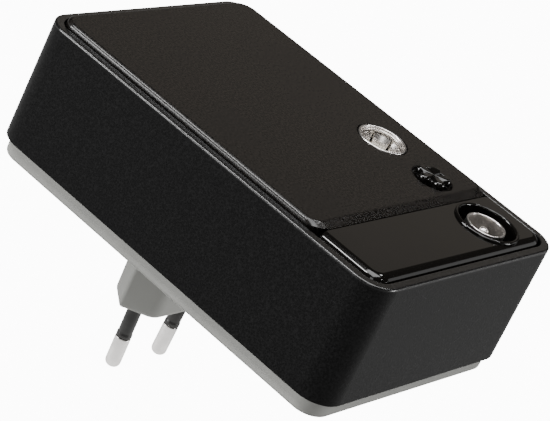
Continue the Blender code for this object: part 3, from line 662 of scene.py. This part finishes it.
def main_fascia():
    """Plate whose rounded edge profile turns into a long slope at the near end: the two profiles are mixed
    by how far the outline's normal points to -Y, eased by 3s^2 - 2s^3. The slope bends over at its crest
    along a quadratic curve. The socket's hole and the knob's dish are turned profiles."""
    centre = (main_low + main_high)[:2] / 2
    half = (main_high - main_low)[:2] / 2
    points, normals = rounded_outline(*half, PLATE_CORNER, centre)
    edge_steps = 15
    bend_steps = 7
    side = np.concatenate([
        [(0, PLATE_LOW), (0, MAIN_TOP - MAIN_EDGE - HOLD)],
        arc(-MAIN_EDGE, MAIN_TOP - MAIN_EDGE, MAIN_EDGE, 0, 90, edge_steps),
        [(-MAIN_EDGE - HOLD, MAIN_TOP)]])
    t = np.linspace(0, 1, bend_steps)[:, None]
    foot = np.array([0, LOWER_TOP])
    crest = np.array([-STEP_RUN, MAIN_TOP])
    grade = crest - foot
    before = crest - STEP_ROUND * grade / np.hypot(*grade)
    after = crest - [STEP_ROUND, 0]
    bend = (1 - t) ** 2 * before + 2 * t * (1 - t) * crest + t ** 2 * after
    climb = np.linspace(0, STEP_STRAIGHT, edge_steps - bend_steps)[:, None]
    slope = foot + climb * (before - foot)
    near = np.concatenate([[(0, PLATE_LOW), (0, LOWER_TOP - HOLD)], slope, bend, [after - [HOLD, 0]]])
    share = np.clip(-normals[:, 1], 0, 1)
    share = share * share * (3 - 2 * share)
    mixed = side[:, None] * (1 - share)[None, :, None] + near[:, None] * share[None, :, None]
    grid = np.concatenate([points[None] + mixed[..., :1] * normals[None], mixed[..., 1:]], -1)

    skin = Skin()
    skin.grid(grid)
    socket_hole = FEMALE_RADIUS + GAP
    rim_rows = profile(arc(socket_hole + HOLE_EDGE, MAIN_TOP - HOLE_EDGE, HOLE_EDGE, 90, 180),
                       [(socket_hole, PLATE_LOW)])
    skin.grid(turned(FEMALE_AT, rim_rows))
    floor = MAIN_TOP - DISH_DEPTH
    stem = KNOB_STEM + GAP
    dish_rows = profile(
        arc(DISH_RADIUS + HOLE_EDGE, MAIN_TOP - HOLE_EDGE, HOLE_EDGE, 90, 180),
        arc(DISH_RADIUS - DISH_FILLET, floor + DISH_FILLET, DISH_FILLET, 0, -90),
        [(stem, floor), (stem, PLATE_LOW)])
    skin.grid(turned(KNOB_AT, dish_rows))
    skin.level(MAIN_TOP, grid[-1, :, :2], ring(FEMALE_AT, socket_hole + HOLE_EDGE),
               ring(KNOB_AT, DISH_RADIUS + HOLE_EDGE))
    skin.level(PLATE_LOW, grid[0, :, :2], ring(FEMALE_AT, socket_hole), ring(KNOB_AT, stem))
    place("main_fascia", skin.mesh("main_fascia"), SATIN)


def lower_fascia():
    """Plate rounded over on three sides and square at the far end, joined with the turned collar and
    well."""
    near, far = lower_low[1], lower_high[1]
    half_x = lower_high[0]
    radii = [LOWER_FAR_CORNER, LOWER_FAR_CORNER, PLATE_CORNER, PLATE_CORNER]
    points, normals = rounded_outline(half_x, (far - near) / 2, radii, (0, (near + far) / 2))
    beyond = normals[:, 1] > TINY
    sideways = np.stack([np.sign(points[:, 0]), np.zeros(len(points))], -1)
    draw = np.where(beyond[:, None], sideways, normals)
    rows = profile([(0, PLATE_LOW)],
                   arc(-LOWER_EDGE, LOWER_TOP - LOWER_EDGE, LOWER_EDGE, 0, 90, steps=19),
                   [(-LOWER_EDGE - HOLD, LOWER_TOP)])
    grid = carried((points, draw), rows)
    plate = Skin()
    plate.grid(grid)
    plate.level(PLATE_LOW, grid[0, :, :2])
    plate.level(LOWER_TOP, grid[-1, :, :2])

    collar = WELL_RADIUS + COLLAR_WIDTH
    cup = WELL_RADIUS + WELL_WALL
    floor = LOWER_TOP - WELL_DEPTH
    top = LOWER_TOP + COLLAR_PROUD
    hole = MALE_RADIUS + GAP
    edge = (COLLAR_WIDTH - COLLAR_FLAT) / 2
    rows = profile(
        [(cup, floor - WELL_WALL), (cup, LOWER_TOP - LOWER_EDGE), (collar, LOWER_TOP - LOWER_EDGE / 2)],
        arc(collar - edge, top - edge, edge, 0, 90),
        arc(WELL_RADIUS + edge, top - edge, edge, 90, 180),
        arc(WELL_RADIUS - DISH_FILLET, floor + DISH_FILLET, DISH_FILLET, 0, -90),
        [(hole, floor), (hole, floor - WELL_WALL)])
    well = closed(turned(MALE_AT, rows, count=128), "ring", loop=True)

    clear = (WELL_RADIUS + cup) / 2
    under, over = PLATE_LOW - CUT_PAST, top + CUT_PAST
    wall = turned(MALE_AT, np.array([(clear, under), (clear, over)]), count=128)
    bore = Skin()
    bore.grid(wall)
    bore.level(under, wall[0, :, :2])
    bore.level(over, wall[1, :, :2])
    mesh = joined(plate.mesh("lower_plate"), ("DIFFERENCE", bore.mesh("bore")), ("UNION", well))
    place("lower_fascia", mesh, GLOSS)


def plug_outline(inset):
    """The plug's hexagon drawn in by an inset."""
    slope = math.radians(PLUG_FACET)
    radii = np.array([PLUG_NOSE, PLUG_CORNER, PLUG_CORNER] * 2) - inset
    return hexagon_outline(PLUG_LENGTH / 2 - inset / math.sin(slope), PLUG_THICKNESS / 2 - inset, PLUG_FACET,
                           np.maximum(radii, PLUG_LEAST_CORNER))


def pin_shift(height, side):
    """Where a pin's leaning axis crosses a height, along X."""
    return side * (PIN_SPACING / 2 + height * math.tan(PIN_TILT))


def rear_cover():
    """Cover band, plug body and screw wells: profiles carried round the case outline, the plug's hexagon and
    the screw axes, with level faces between them on the back, on the plug's face and inside."""
    inset = casing_high[0] - limits("rear_cover")[1][0] - DRAFT
    outline = rounded_outline(HALF_X - inset, HALF_Y - inset, COVER_CORNER, CASE_AT)
    band_top = COVER_BACK + COVER_BAND
    spigot_top = band_top + SPIGOT_HEIGHT
    spigot_inner = -SPIGOT_INSET - SPIGOT_WALL
    band = profile([(-COVER_EDGE - HOLD, COVER_BACK)],
                   arc(-COVER_EDGE, COVER_BACK + COVER_EDGE, COVER_EDGE, -90, 0),
                   [(0, band_top), (-SPIGOT_INSET, band_top), (-SPIGOT_INSET, spigot_top),
                    (spigot_inner, spigot_top), (spigot_inner, COVER_INSIDE)])
    skin = Skin()
    case = skin.grid(carried(outline, band))

    root = PLUG_DRAFT + PLUG_ROOT
    body = profile(
        arc(root, COVER_BACK - PLUG_ROOT, PLUG_ROOT, 90, 180),
        arc(-PLUG_EDGE, PLUG_EDGE, PLUG_EDGE, 0, -90, steps=9), [(-PLUG_EDGE - HOLD, 0)])
    plug = skin.grid(carried(plug_outline(0), body))
    inside_rows = np.array([(0, COVER_INSIDE), (0, PLUG_FACE_WALL)])
    hollow = skin.grid(carried(plug_outline(PLUG_WALL), inside_rows))

    hole = SLEEVE_RADIUS + GAP
    pin_rows = profile([(hole, PLUG_FACE_WALL)], arc(hole + HOLE_EDGE, HOLE_EDGE, HOLE_EDGE, 180, 270))
    pin_holes = []
    for side in (-1, 1):
        bore = turned((0, 0), pin_rows, count=48)
        bore[..., 0] += pin_shift(bore[..., 2], side)
        pin_holes.append(skin.grid(bore))

    head = limits(SCREWS[0])[1][0] - middle(SCREWS[0])[0] + GAP
    seat = COVER_BACK + COUNTERBORE
    pillar_rows = profile(
        [(PILLAR_RADIUS, COVER_INSIDE), (PILLAR_RADIUS, UNDER_BOARD), (SCREW_HOLE, UNDER_BOARD),
         (SCREW_HOLE, seat), (head, seat)],
        arc(head + HOLE_EDGE, COVER_BACK + HOLE_EDGE, HOLE_EDGE, 180, 270))
    pillars = [skin.grid(turned(middle(screw), pillar_rows, count=64)) for screw in SCREWS]

    skin.level(COVER_BACK, case[0, :, :2], plug[0, :, :2], *(p[-1, :, :2] for p in pillars))
    skin.level(COVER_INSIDE, case[-1, :, :2], hollow[0, :, :2], *(p[0, :, :2] for p in pillars))
    skin.level(0, plug[-1, :, :2], *(p[-1, :, :2] for p in pin_holes))
    skin.level(PLUG_FACE_WALL, hollow[-1, :, :2], *(p[0, :, :2] for p in pin_holes))
    place("rear_cover", skin.mesh("rear_cover"), GREY)


def leaning(points, side):
    """Points about the upright axis turned by the pin's lean about Y and moved to the pin's root."""
    cos, sin = math.cos(side * PIN_TILT), math.sin(side * PIN_TILT)
    x, y, z = np.moveaxis(points, -1, 0)
    return np.stack([x * cos + z * sin + side * PIN_SPACING / 2, y, z * cos - x * sin], -1)


def plug_pins():
    """Turned pins with rounded tips, and sleeves that widen to a collar at their lower end, on leaning
    axes."""
    low = -SLEEVE_LENGTH
    shoulder = low - GAP
    root = PLUG_FACE_WALL + PIN_ROOT
    pin = profile(
        [(0, -PIN_LENGTH), (PIN_RADIUS - PIN_EDGE - HOLD, -PIN_LENGTH)],
        arc(PIN_RADIUS - PIN_EDGE, PIN_EDGE - PIN_LENGTH, PIN_EDGE, -90, 0, steps=10),
        arc(PIN_RADIUS - PIN_SHOULDER, shoulder - PIN_SHOULDER, PIN_SHOULDER, 0, 90, steps=4),
        [(PIN_NECK, shoulder), (PIN_NECK, root), (0, root)])
    collar = low + SLEEVE_COLLAR
    slim = collar + SLEEVE_TAPER
    seat = PLUG_FACE_WALL - GAP
    sleeve = profile(
        [(SLEEVE_BORE, low)],
        arc(PIN_RADIUS - SLEEVE_EDGE, low + SLEEVE_EDGE, SLEEVE_EDGE, -90, 0, steps=4),
        [(PIN_RADIUS, collar), (PIN_RADIUS - TAPER_DROP, collar + TAPER_EASE),
         (SLEEVE_RADIUS + TAPER_DROP, slim - TAPER_EASE), (SLEEVE_RADIUS, slim),
         (SLEEVE_RADIUS, seat), (SLEEVE_BORE, seat)])
    for side, word in ((-1, "left"), (1, "right")):
        bare = closed(leaning(turned((0, 0), pin, count=64), side), "pin")
        place(f"plug_pin_{word}", bare, PIN_PLATE)
        cover = closed(leaning(turned((0, 0), sleeve, count=64), side), "sleeve", loop=True)
        place(f"pin_sleeve_{word}", cover, SLEEVE)


def socket_shell(name, at, radius, wall, through, mouth):
    """Turned barrel with a flange on the board and a web across its foot; the mouth's profile ends it
    above."""
    bore = radius - wall
    flange = limits(name)[1][0] - at[0]
    base = ON_BOARD + SOCKET_FLANGE
    web = ON_BOARD + SOCKET_WEB
    rows = profile([(through, ON_BOARD), (flange, ON_BOARD), (flange, base), (radius, base)], mouth,
                   [(bore, web), (through, web)])
    place(name, closed(turned(at, rows, count=128), name, loop=True), NICKEL)


def disc(name, at, radius, bore, low, high, post, finish):
    """An insulating disc with softened edges and a post round its bore, as one turned profile."""
    edge = DISC_EDGE
    wall = bore + POST_WALL
    rows = profile(
        [(bore, low), (radius, low)], arc(radius - edge, high - edge, edge, 0, 90, steps=5),
        [(wall, high)], arc(wall - edge, post - edge, edge, 0, 90, steps=5), [(bore, post)])
    place(name, closed(turned(at, rows, count=80), name, loop=True), finish)


def slotted_tube(at, foot, outer, inner, leaves, slot):
    """A tube cut into leaves: the outer and inner profiles run from the slots' foot to the mouth and are
    carried over each leaf's angle, side walls close the slots, and a plain ring from the foot down carries
    the leaves."""
    half_slot = slot / 2 / outer[0, 0]
    span = 2 * np.pi / leaves
    leaf = np.linspace(half_slot, span - half_slot, 15)
    gap = np.linspace(span - half_slot, span + half_slot, 3)

    def swept(rows, angle):
        """A profile of (radius, height) at each of the angles."""
        flat = rows[:, None, :1] * np.stack([np.cos(angle), np.sin(angle)], -1)[None]
        height = np.broadcast_to(rows[:, None, 1:], (*flat.shape[:2], 1))
        return np.concatenate([flat + np.asarray(at), height], -1)

    skin = Skin()
    whole = np.concatenate([np.concatenate([leaf, gap[1:-1]]) + span * i for i in range(leaves)])
    ends = np.array([outer[0], (outer[0, 0], foot), (inner[0, 0], foot), inner[0]])
    skin.grid(swept(ends, whole))
    over = np.concatenate([outer, inner[::-1]])
    for i in range(leaves):
        skin.grid(swept(over, leaf + span * i), around=False)
        skin.grid(swept(np.array([outer[0], inner[0]]), gap + span * i), around=False)
        for edge in (leaf[:1], leaf[-1:]):
            walls = np.concatenate([swept(outer, edge + span * i), swept(inner, edge + span * i)], 1)
            skin.grid(walls, around=False)
    return skin


def female_mouth(top):
    """Profile of the female shell's mouth: an outer bead, a narrow groove, a finer and lower bead, and a
    chamfer into the bore."""
    bore = FEMALE_RADIUS - FEMALE_WALL
    groove = FEMALE_RADIUS - 2 * FEMALE_BEAD
    bead_at = groove - LIP_GROOVE - INNER_BEAD
    within = bead_at - INNER_BEAD
    crest = top - LIP_STEP
    bed = crest - LIP_GROOVE_DEPTH
    return np.concatenate([
        arc(FEMALE_RADIUS - FEMALE_BEAD, top - FEMALE_BEAD, FEMALE_BEAD, 0, 180, steps=15),
        [(groove, bed), (groove - LIP_GROOVE, bed)],
        arc(bead_at, crest - INNER_BEAD, INNER_BEAD, 0, 180, steps=11),
        [(within, crest - LIP_STEP), (bore, crest - LIP_STEP - bore + within)]])


def spring_sleeve(top):
    """Leaves that bow inwards to a neck and flare above it: the inner radius falls by the bow times
    1 - b^2, where b goes from 1 at the slots' foot to 0 at the neck, and above the neck it grows by the
    flare times a power of a, which goes from 0 to 1. The wall thins towards the tips."""
    low, high = limits("female_socket_spring")
    radius = high[0] - FEMALE_AT[0]
    split = low[2] + SPRING_BASE * (high[2] - low[2])
    tips = top - SPRING_BELOW
    t = np.linspace(0, 1, 20)
    below = np.clip(1 - t / SPRING_NECK_AT, 0, 1)
    above = np.clip((t - SPRING_NECK_AT) / (1 - SPRING_NECK_AT), 0, 1)
    bow = SPRING_BOW * (1 - below ** 2) - SPRING_FLARE * above ** SPRING_FLARE_POWER
    height = split + (tips - split) * t
    thin = SPRING_WALL * (1 - SPRING_THINNING * above ** 2)
    outer = np.stack([radius - SPRING_WALL - bow + thin, height], -1)
    inner = np.stack([radius - SPRING_WALL - bow, height], -1)
    spring = slotted_tube(FEMALE_AT, low[2], outer, inner, SPRING_LEAVES, SPRING_SLOT)
    place("female_socket_spring", spring.mesh("spring"), NICKEL)


def female_contact():
    """A forked tube whose prongs thin by a flare that grows with the square of the height above the
    split."""
    low, high = limits("female_socket_contact")
    radius = high[0] - FEMALE_AT[0]
    split = high[2] - CONTACT_SPLIT
    height = np.linspace(split, high[2], 10)
    flare = CONTACT_FLARE * ((height - split) / (high[2] - split)) ** 2
    outer = np.stack([radius - flare, height], -1)
    inner = np.stack([CONTACT_BORE + flare, height], -1)
    fork = slotted_tube(FEMALE_AT, low[2], outer, inner, CONTACT_PRONGS, CONTACT_SLOT)
    place("female_socket_contact", fork.mesh("contact"), NICKEL)


def female_socket():
    """Barrel, spring sleeve, insulator and forked centre contact."""
    top = limits("female_socket_shell")[1][2]
    socket_shell("female_socket_shell", FEMALE_AT, FEMALE_RADIUS, FEMALE_WALL, FEMALE_THROUGH,
                 female_mouth(top))
    spring_sleeve(top)
    low, high = limits("female_socket_insulator")
    post = limits("female_socket_contact")[1][2] + POST_PROUD
    disc("female_socket_insulator", FEMALE_AT, high[0] - FEMALE_AT[0], FEMALE_DISC_BORE, low[2], high[2],
         post, INSULATOR)
    female_contact()


def male_socket():
    """Thin sleeve with a rounded mouth, insulator, and a centre pin whose nose is half an ellipse: its
    radius is scaled by sqrt(1 - t^2), t going from 0 to 1 along its length."""
    top = limits("male_socket_shell")[1][2]
    bore = MALE_RADIUS - MALE_WALL
    mouth = np.concatenate([arc(MALE_RADIUS - MALE_LIP, top - MALE_LIP, MALE_LIP, 0, 90),
                            arc(bore + MALE_LIP, top - MALE_LIP, MALE_LIP, 90, 180)])
    socket_shell("male_socket_shell", MALE_AT, MALE_RADIUS, MALE_WALL, MALE_THROUGH, mouth)
    low, high = limits("male_socket_insulator")
    disc("male_socket_insulator", MALE_AT, high[0] - MALE_AT[0], MALE_DISC_BORE, low[2], high[2] - MALE_POST,
         high[2], SLEEVE)
    low, high = limits("male_socket_pin")
    radius = high[0] - MALE_AT[0]
    t = np.linspace(0, 1, 12)
    nose = np.stack([radius * np.sqrt(1 - t ** 2), high[2] - MALE_NOSE * (1 - t)], -1)
    rows = profile([(0, low[2]), (radius, low[2])], nose)
    place("male_socket_pin", closed(turned(MALE_AT, rows, count=48), "pin"), NICKEL)


def gain_knob():
    """A star of round lobes: the radius dips once per lobe by the flute's depth times a power of a cosine
    wave. The edge is rounded, the flutes run on into the top, which is slightly hollow, and the stem below
    carries the shaft's bore."""
    low, high = limits("gain_knob")
    foot, top = low[2], high[2]
    base = MAIN_TOP - DISH_DEPTH + GAP
    count = 150
    angle = np.arange(count) * 2 * np.pi / count
    wave = 0.5 + 0.5 * np.cos(KNOB_LOBES * (angle - math.radians(KNOB_PHASE)))
    star = KNOB_RADIUS - KNOB_FLUTE * wave ** KNOB_FLUTE_POWER
    turn = np.radians(np.linspace(0, 90, 12))
    inset = np.concatenate([[KNOB_FOOT_EDGE, 0, 0], KNOB_EDGE * (1 - np.cos(turn))])
    height = np.concatenate([[base, base + KNOB_FOOT_EDGE, top - KNOB_EDGE - HOLD],
                             top - KNOB_EDGE * (1 - np.sin(turn))])
    rim = star[None] - inset[:, None]
    shrink = np.linspace(KNOB_CROWN, 0, 14)[:, None]
    crown = (star - KNOB_EDGE)[None] * shrink
    hollow = top - KNOB_HOLLOW * (1 - shrink[:, 0] ** 2) ** 2
    groove = KNOB_GROOVE * wave ** KNOB_GROOVE_POWER
    stem = np.array([(0, base), (SHAFT_BORE, base), (SHAFT_BORE, foot), (KNOB_STEM, foot),
                     (KNOB_STEM, base)])
    radius = np.concatenate([np.broadcast_to(stem[:, :1], (len(stem), count)), rim, crown])
    level = np.concatenate([stem[:, 1], height, hollow])
    fall = np.concatenate([np.zeros(len(stem) + 2), np.ones(len(height) - 2),
                           shrink[:, 0] ** KNOB_GROOVE_FADE])
    points = np.stack([radius * np.cos(angle) + KNOB_AT[0], radius * np.sin(angle) + KNOB_AT[1],
                       level[:, None] - fall[:, None] * groove], -1)
    place("gain_knob", closed(points, "knob"), GLOSS, "gain_control", sharp=40)


def case_screws():
    """Pan heads with a cross recess: the head's face sinks where either bar of the cross covers it."""
    rings = 40
    seat = COVER_BACK + COUNTERBORE - GAP
    soft = SCREW_SOFT * SCREW_EDGE
    for screw in SCREWS:
        low, high = limits(screw)
        at = middle(screw)
        head = high[0] - at[0]
        face, tip = low[2], high[2]
        radius = np.concatenate([np.linspace(0, head - SCREW_EDGE, rings), [head - soft, head, head],
                                 [SCREW_RADIUS, SCREW_RADIUS, SCREW_RADIUS / 2, 0]])
        level = np.concatenate([np.full(rings, face), [face + soft, face + SCREW_EDGE, seat],
                                [seat, tip - 2 * SCREW_EDGE, tip, tip]])
        points = turned(at, np.stack([radius, level], -1))
        reach = np.abs(points[:rings, :, :2] - at)
        across = np.clip((CROSS_WIDTH - reach) / CROSS_EASE + 0.5, 0, 1)
        along = np.clip((CROSS_LENGTH - reach[..., ::-1]) / CROSS_END_EASE + 0.5, 0, 1)
        points[:rings, :, 2] += CROSS_DEPTH * (across * along).max(-1)
        place(screw, closed(points, "screw"), STEEL)


def inner_parts():
    """The parts inside keep their CAD shapes and get their finishes."""
    finishes = {
        "gain_shaft": STEEL, "gain_potentiometer": BOARD, "circuit_board": BOARD, "shield_can": STEEL,
        "transformer_core": STEEL, "transformer_bobbin": INSULATOR, "transformer_winding": COPPER,
        "smoothing_capacitor": BLUE, "bridge_rectifier": BLACK_PART, "voltage_regulator": STEEL,
        "thermal_fuse": BLACK_PART, "live_lead": BROWN, "neutral_lead": BLUE,
    }
    for node, finish in finishes.items():
        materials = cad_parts[node].data.materials
        materials.clear()
        materials.append(finish)


front_casing()
main_fascia()
lower_fascia()
rear_cover()
plug_pins()
female_socket()
male_socket()
gain_knob()
case_screws()
inner_parts()

# Stage, light and camera, in metres
FLOOR_BELOW = 0.0008
FLOOR_SIZE = 12.0
FLOOR_GREY = (0.12, 0.12, 0.12, 1.0)
FLOOR_ROUGHNESS = 0.8
FLOOR_GLOW = 1.35
FLOOR_EDGE = (0.15, 0.15, 0.147)
POOL_COLOUR = (1.0, 1.0, 0.98)
POOL_REACH = 0.05       # radius of the bright pool on the floor
ROOM_GREY = (0.035, 0.032, 0.029)
WHITE = 12.0            # how bright the floor and room look to the camera
LIGHT_CENTRE = Vector((0.0, -0.0155, 0.035))
LIGHT_DISTANCE = 2.5
WARM = (1.0, 0.91, 0.8)
CAMERA_AT = (-0.4389, -0.2664, 0.2793)
CAMERA_RIGHT = (0.60742, -0.68844, 0.39624)
CAMERA_UP = (0.12008, 0.57275, 0.81088)
CAMERA_BACK = (-0.78528, -0.44514, 0.43045)
CAMERA_LENS = 155.37    # millimetres, as the sensor
SENSOR_WIDTH = 36.0


def white_to_camera(tree, surface, shader):
    """Show a plain white where the camera looks straight at a surface, and its own shader to every other
    ray."""
    path = tree.nodes.new("ShaderNodeLightPath")
    white = tree.nodes.new("ShaderNodeEmission")
    white.inputs["Strength"].default_value = WHITE
    mix = tree.nodes.new("ShaderNodeMixShader")
    tree.links.new(path.outputs["Is Camera Ray"], mix.inputs["Fac"])
    tree.links.new(shader.outputs[0], mix.inputs[1])
    tree.links.new(white.outputs[0], mix.inputs[2])
    tree.links.new(mix.outputs[0], surface)


def floor():
    """A pale level floor just below the pins: a light table that glows most below the object."""
    half = FLOOR_SIZE / 2
    height = cad_box[0][2] - FLOOR_BELOW
    mesh = bpy.data.meshes.new("floor")
    corners = [(-half, -half, height), (half, -half, height), (half, half, height), (-half, half, height)]
    mesh.from_pydata(corners, [], [(0, 1, 2, 3)])
    pale = Finish("pale_floor", {"Base Color": FLOOR_GREY, "Roughness": FLOOR_ROUGHNESS,
                                 "Emission Strength": FLOOR_GLOW})
    away = pale.node("ShaderNodeVectorMath", {"operation": "LENGTH"}, {0: pale.place}, "Value")
    glow = pale.ramp(away * (1 / POOL_REACH), (0.5, POOL_COLOUR), (1.0, FLOOR_EDGE))
    pale.feed("Emission Color", glow)
    white_to_camera(pale.tree, pale.tree.nodes["Material Output"].inputs["Surface"], pale.shader)
    mesh.materials.append(pale.material)
    plane = bpy.data.objects.new("floor", mesh)
    bpy.context.scene.collection.objects.link(plane)


def room():
    """A dim room all round."""
    world = bpy.data.worlds.new("room")
    world.use_nodes = True
    tree = world.node_tree
    dim = tree.nodes["Background"]
    dim.inputs["Color"].default_value = (*ROOM_GREY, 1.0)
    white_to_camera(tree, tree.nodes["World Output"].inputs["Surface"], dim)
    bpy.context.scene.world = world


def softbox(name, azimuth, elevation, width, height, strength, colour=(1.0, 1.0, 1.0), roll=0.0):
    """A rectangular light that faces the object from an azimuth and elevation in degrees: its power is its
    strength times its area."""
    turn, rise = math.radians(azimuth), math.radians(elevation)
    toward = Vector((math.cos(turn) * math.cos(rise), math.sin(turn) * math.cos(rise), math.sin(rise)))
    light = bpy.data.lights.new(name, "AREA")
    light.shape = "RECTANGLE"
    light.size = width
    light.size_y = height
    light.energy = strength * width * height
    light.color = colour
    lamp = bpy.data.objects.new(name, light)
    lamp.location = LIGHT_CENTRE + LIGHT_DISTANCE * toward
    facing = toward.to_track_quat("Z", "Y").to_matrix() @ Matrix.Rotation(math.radians(roll), 3, "Z")
    lamp.rotation_euler = facing.to_euler()
    bpy.context.scene.collection.objects.link(lamp)


def camera():
    """The photograph's view: a long lens, rolled as the picture is."""
    data = bpy.data.cameras.new("camera")
    data.lens = CAMERA_LENS
    data.sensor_width = SENSOR_WIDTH
    view = bpy.data.objects.new("camera", data)
    turn = Matrix((CAMERA_RIGHT, CAMERA_UP, CAMERA_BACK)).transposed()
    view.matrix_world = Matrix.Translation(CAMERA_AT) @ turn.to_4x4()
    bpy.context.scene.collection.objects.link(view)
    bpy.context.scene.camera = view


floor()
room()
softbox("left_strip", 134, 52, 0.32, 1.0, 115.0, roll=-42)
softbox("left_low", 140, 9, 0.8, 0.7, 92.0)
softbox("near_low", 303, 7, 0.8, 0.5, 85.0)
softbox("near_box", 284, 44, 0.17, 0.17, 100.0)
softbox("top_box", 358, 56, 0.24, 0.24, 110.0)
softbox("overhead", 180, 86, 2.0, 2.0, 21.0)
softbox("front_box", 210, 33, 0.7, 0.9, 9.0)
softbox("right_card", -26, 14, 1.0, 1.0, 2.5)
softbox("far_card", 33, 20.5, 1.15, 0.65, 0.8, WARM)
camera()
